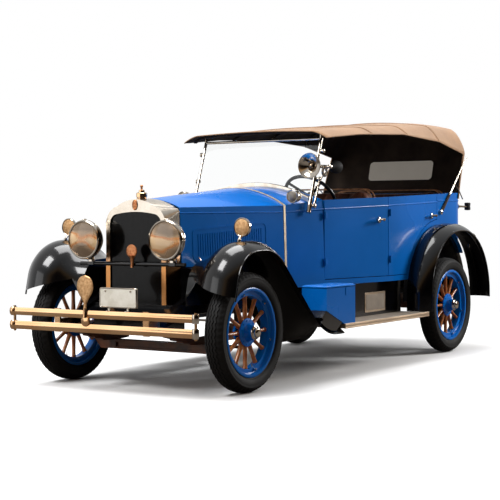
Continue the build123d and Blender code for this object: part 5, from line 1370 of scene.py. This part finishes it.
class CAR_OT_build_stage(bpy.types.Operator):
    """Floor, soft lamps and the camera at the photograph's angle"""

    bl_idname = "touring_car.build_stage"
    bl_label = "Build the stage"

    def execute(self, context):
        sizes = context.scene.touring_car
        half = sizes.floor_size / 2
        mesh = bpy.data.meshes.new("studio_floor")
        corners = [(-half, -half, 0), (half, -half, 0), (half, half, 0), (-half, half, 0)]
        mesh.from_pydata(corners, [], [(0, 1, 2, 3)])
        mesh.materials.append(self.paper())
        floor = bpy.data.objects.new("studio_floor", mesh)
        context.scene.collection.objects.link(floor)
        context.scene.world = self.air()
        for name, place, target, size, power in SOFTBOXES:
            data = bpy.data.lights.new(name, "AREA")
            data.energy = power
            data.size = size
            lamp = bpy.data.objects.new(name, data)
            lamp.location = place
            lamp.rotation_mode = "QUATERNION"
            lamp.rotation_quaternion = (Vector(target) - Vector(place)).to_track_quat("-Z", "Y")
            context.scene.collection.objects.link(lamp)
        camera = self.camera(sizes.lens)
        context.scene.collection.objects.link(camera)
        context.scene.camera = camera
        context.scene.view_settings.view_transform = "Standard"
        return {"FINISHED"}

    def paper(self):
        """Seamless paper, matte: it takes the shadow near the car and melts into the backdrop further out."""
        made, tree, shader = new_material("studio_paper_matte", Roughness=0.9, Specular_IOR_Level=0.05)
        where = add_node(tree, "ShaderNodeTexCoord")
        path = add_node(tree, "ShaderNodeLightPath")
        # The paper is drawn pale but throws back less light, as a floor does in a dim hall
        tones = {0: (path, "Is Camera Ray"), 6: linear("#6A645E"), 7: linear("#F4F4F4")}
        tone = add_node(tree, "ShaderNodeMix", {"data_type": "RGBA"}, tones)
        tree.links.new(tone.outputs[2], shader.inputs["Base Color"])
        far = add_node(tree, "ShaderNodeVectorMath", {"operation": "LENGTH"}, {0: (where, "Object")})
        reach = {"Value": (far, "Value"), "From Min": FADE_START, "From Max": FADE_END}
        fade = add_node(tree, "ShaderNodeMapRange", {"interpolation_type": "SMOOTHSTEP"}, reach)
        both = {0: (fade, "Result"), 1: (path, "Is Camera Ray")}
        seen = add_node(tree, "ShaderNodeMath", {"operation": "MULTIPLY"}, both)
        white = add_node(tree, "ShaderNodeEmission", inputs={"Color": linear("#FFFFFF"), "Strength": 1.0})
        parts = {0: (seen, "Value"), 1: (shader, "BSDF"), 2: (white, "Emission")}
        mixed = add_node(tree, "ShaderNodeMixShader", inputs=parts)
        tree.links.new(mixed.outputs["Shader"], tree.nodes["Material Output"].inputs["Surface"])
        return made

    def air(self):
        """White backdrop for the eye. Metal and paint see a lit hall instead, which shows their form."""
        made = bpy.data.worlds.new("studio_air")
        made.use_nodes = True
        tree = made.node_tree
        tree.nodes.clear()
        where = add_node(tree, "ShaderNodeTexCoord")
        path = add_node(tree, "ShaderNodeLightPath")
        either = {0: (path, "Is Camera Ray"), 1: (path, "Is Transmission Ray")}
        seen = add_node(tree, "ShaderNodeMath", {"operation": "MAXIMUM"}, either)
        # Bright overhead and behind the car, warm ahead of it and dim beside it
        slope = {0: (where, "Generated"), 1: (-0.48, 0.16, 0.62)}
        weigh = add_node(tree, "ShaderNodeVectorMath", {"operation": "DOT_PRODUCT"}, slope)
        level = add_node(tree, "ShaderNodeMath", {"operation": "ADD"}, {0: (weigh, "Value"), 1: 0.30})
        ramp = add_node(tree, "ShaderNodeValToRGB", inputs={"Fac": (level, "Value")})
        for stop, position, tone in zip(ramp.color_ramp.elements, (0.05, 0.85), ("#15110E", "#FFFFFF")):
            stop.position = position
            stop.color = linear(tone)
        for position, tone in ((0.22, "#4A3828"), (0.31, "#C9A272"), (0.42, "#B9B3AC"), (0.58, "#DADDE0")):
            ramp.color_ramp.elements.new(position).color = linear(tone)
        lit = add_node(tree, "ShaderNodeBackground", inputs={"Color": (ramp, "Color"), "Strength": 0.8})
        shown = add_node(tree, "ShaderNodeBackground", inputs={"Color": linear("#FFFFFF"), "Strength": 1.0})
        parts = {0: (seen, "Value"), 1: (lit, "Background"), 2: (shown, "Background")}
        mixed = add_node(tree, "ShaderNodeMixShader", inputs=parts)
        add_node(tree, "ShaderNodeOutputWorld", inputs={"Surface": (mixed, "Shader")})
        return made

    def camera(self, lens):
        """The photograph's camera."""
        yaw, pitch, roll = [math.radians(angle) for angle in (CAMERA_YAW, CAMERA_PITCH, CAMERA_ROLL)]
        ahead = Vector((-math.sin(yaw) * math.cos(pitch), math.cos(yaw) * math.cos(pitch), math.sin(pitch)))
        right = ahead.cross(Vector(UP)).normalized()
        up = right.cross(ahead)
        tilted = right * math.cos(roll) + up * math.sin(roll)
        head = up * math.cos(roll) - right * math.sin(roll)
        turn = Matrix((tilted, head, -ahead)).transposed().to_4x4()
        made = bpy.data.objects.new("camera", bpy.data.cameras.new("camera"))
        made.matrix_world = Matrix.Translation(CAMERA_PLACE) @ turn
        made.data.lens = lens
        made.data.sensor_width = 36.0
        made.data.shift_x = CAMERA_SHIFT
        made.data.clip_end = 200
        return made


STEPS = (
    CAR_OT_finish_frame,
    CAR_OT_build_wheels,
    CAR_OT_build_tyres,
    CAR_OT_build_top,
    CAR_OT_build_irons,
    CAR_OT_build_seats,
    CAR_OT_build_front,
    CAR_OT_build_screen,
    CAR_OT_build_trim,
    CAR_OT_build_wheelhouses,
    CAR_OT_build_cabin,
    CAR_OT_build_stage,
)


class CAR_PT_steps(bpy.types.Panel):
    """Lists the car's steps"""

    bl_idname = "CAR_PT_steps"
    bl_label = "Touring car"
    bl_space_type = "VIEW_3D"
    bl_region_type = "UI"
    bl_category = "Touring car"

    def draw(self, context):
        for key in CarSizes.__annotations__:
            self.layout.prop(context.scene.touring_car, key)
        for step in STEPS:
            self.layout.operator(step.bl_idname)


def register():
    for made in (CarSizes, *STEPS, CAR_PT_steps):
        bpy.utils.register_class(made)
    bpy.types.Scene.touring_car = bpy.props.PointerProperty(type=CarSizes)


def unregister():
    del bpy.types.Scene.touring_car
    for made in reversed((CarSizes, *STEPS, CAR_PT_steps)):
        bpy.utils.unregister_class(made)


def main():
    register()
    for step in STEPS:
        getattr(bpy.ops.touring_car, step.bl_idname.split(".")[1])()
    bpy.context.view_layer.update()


if __name__ == "__main__":
    main()
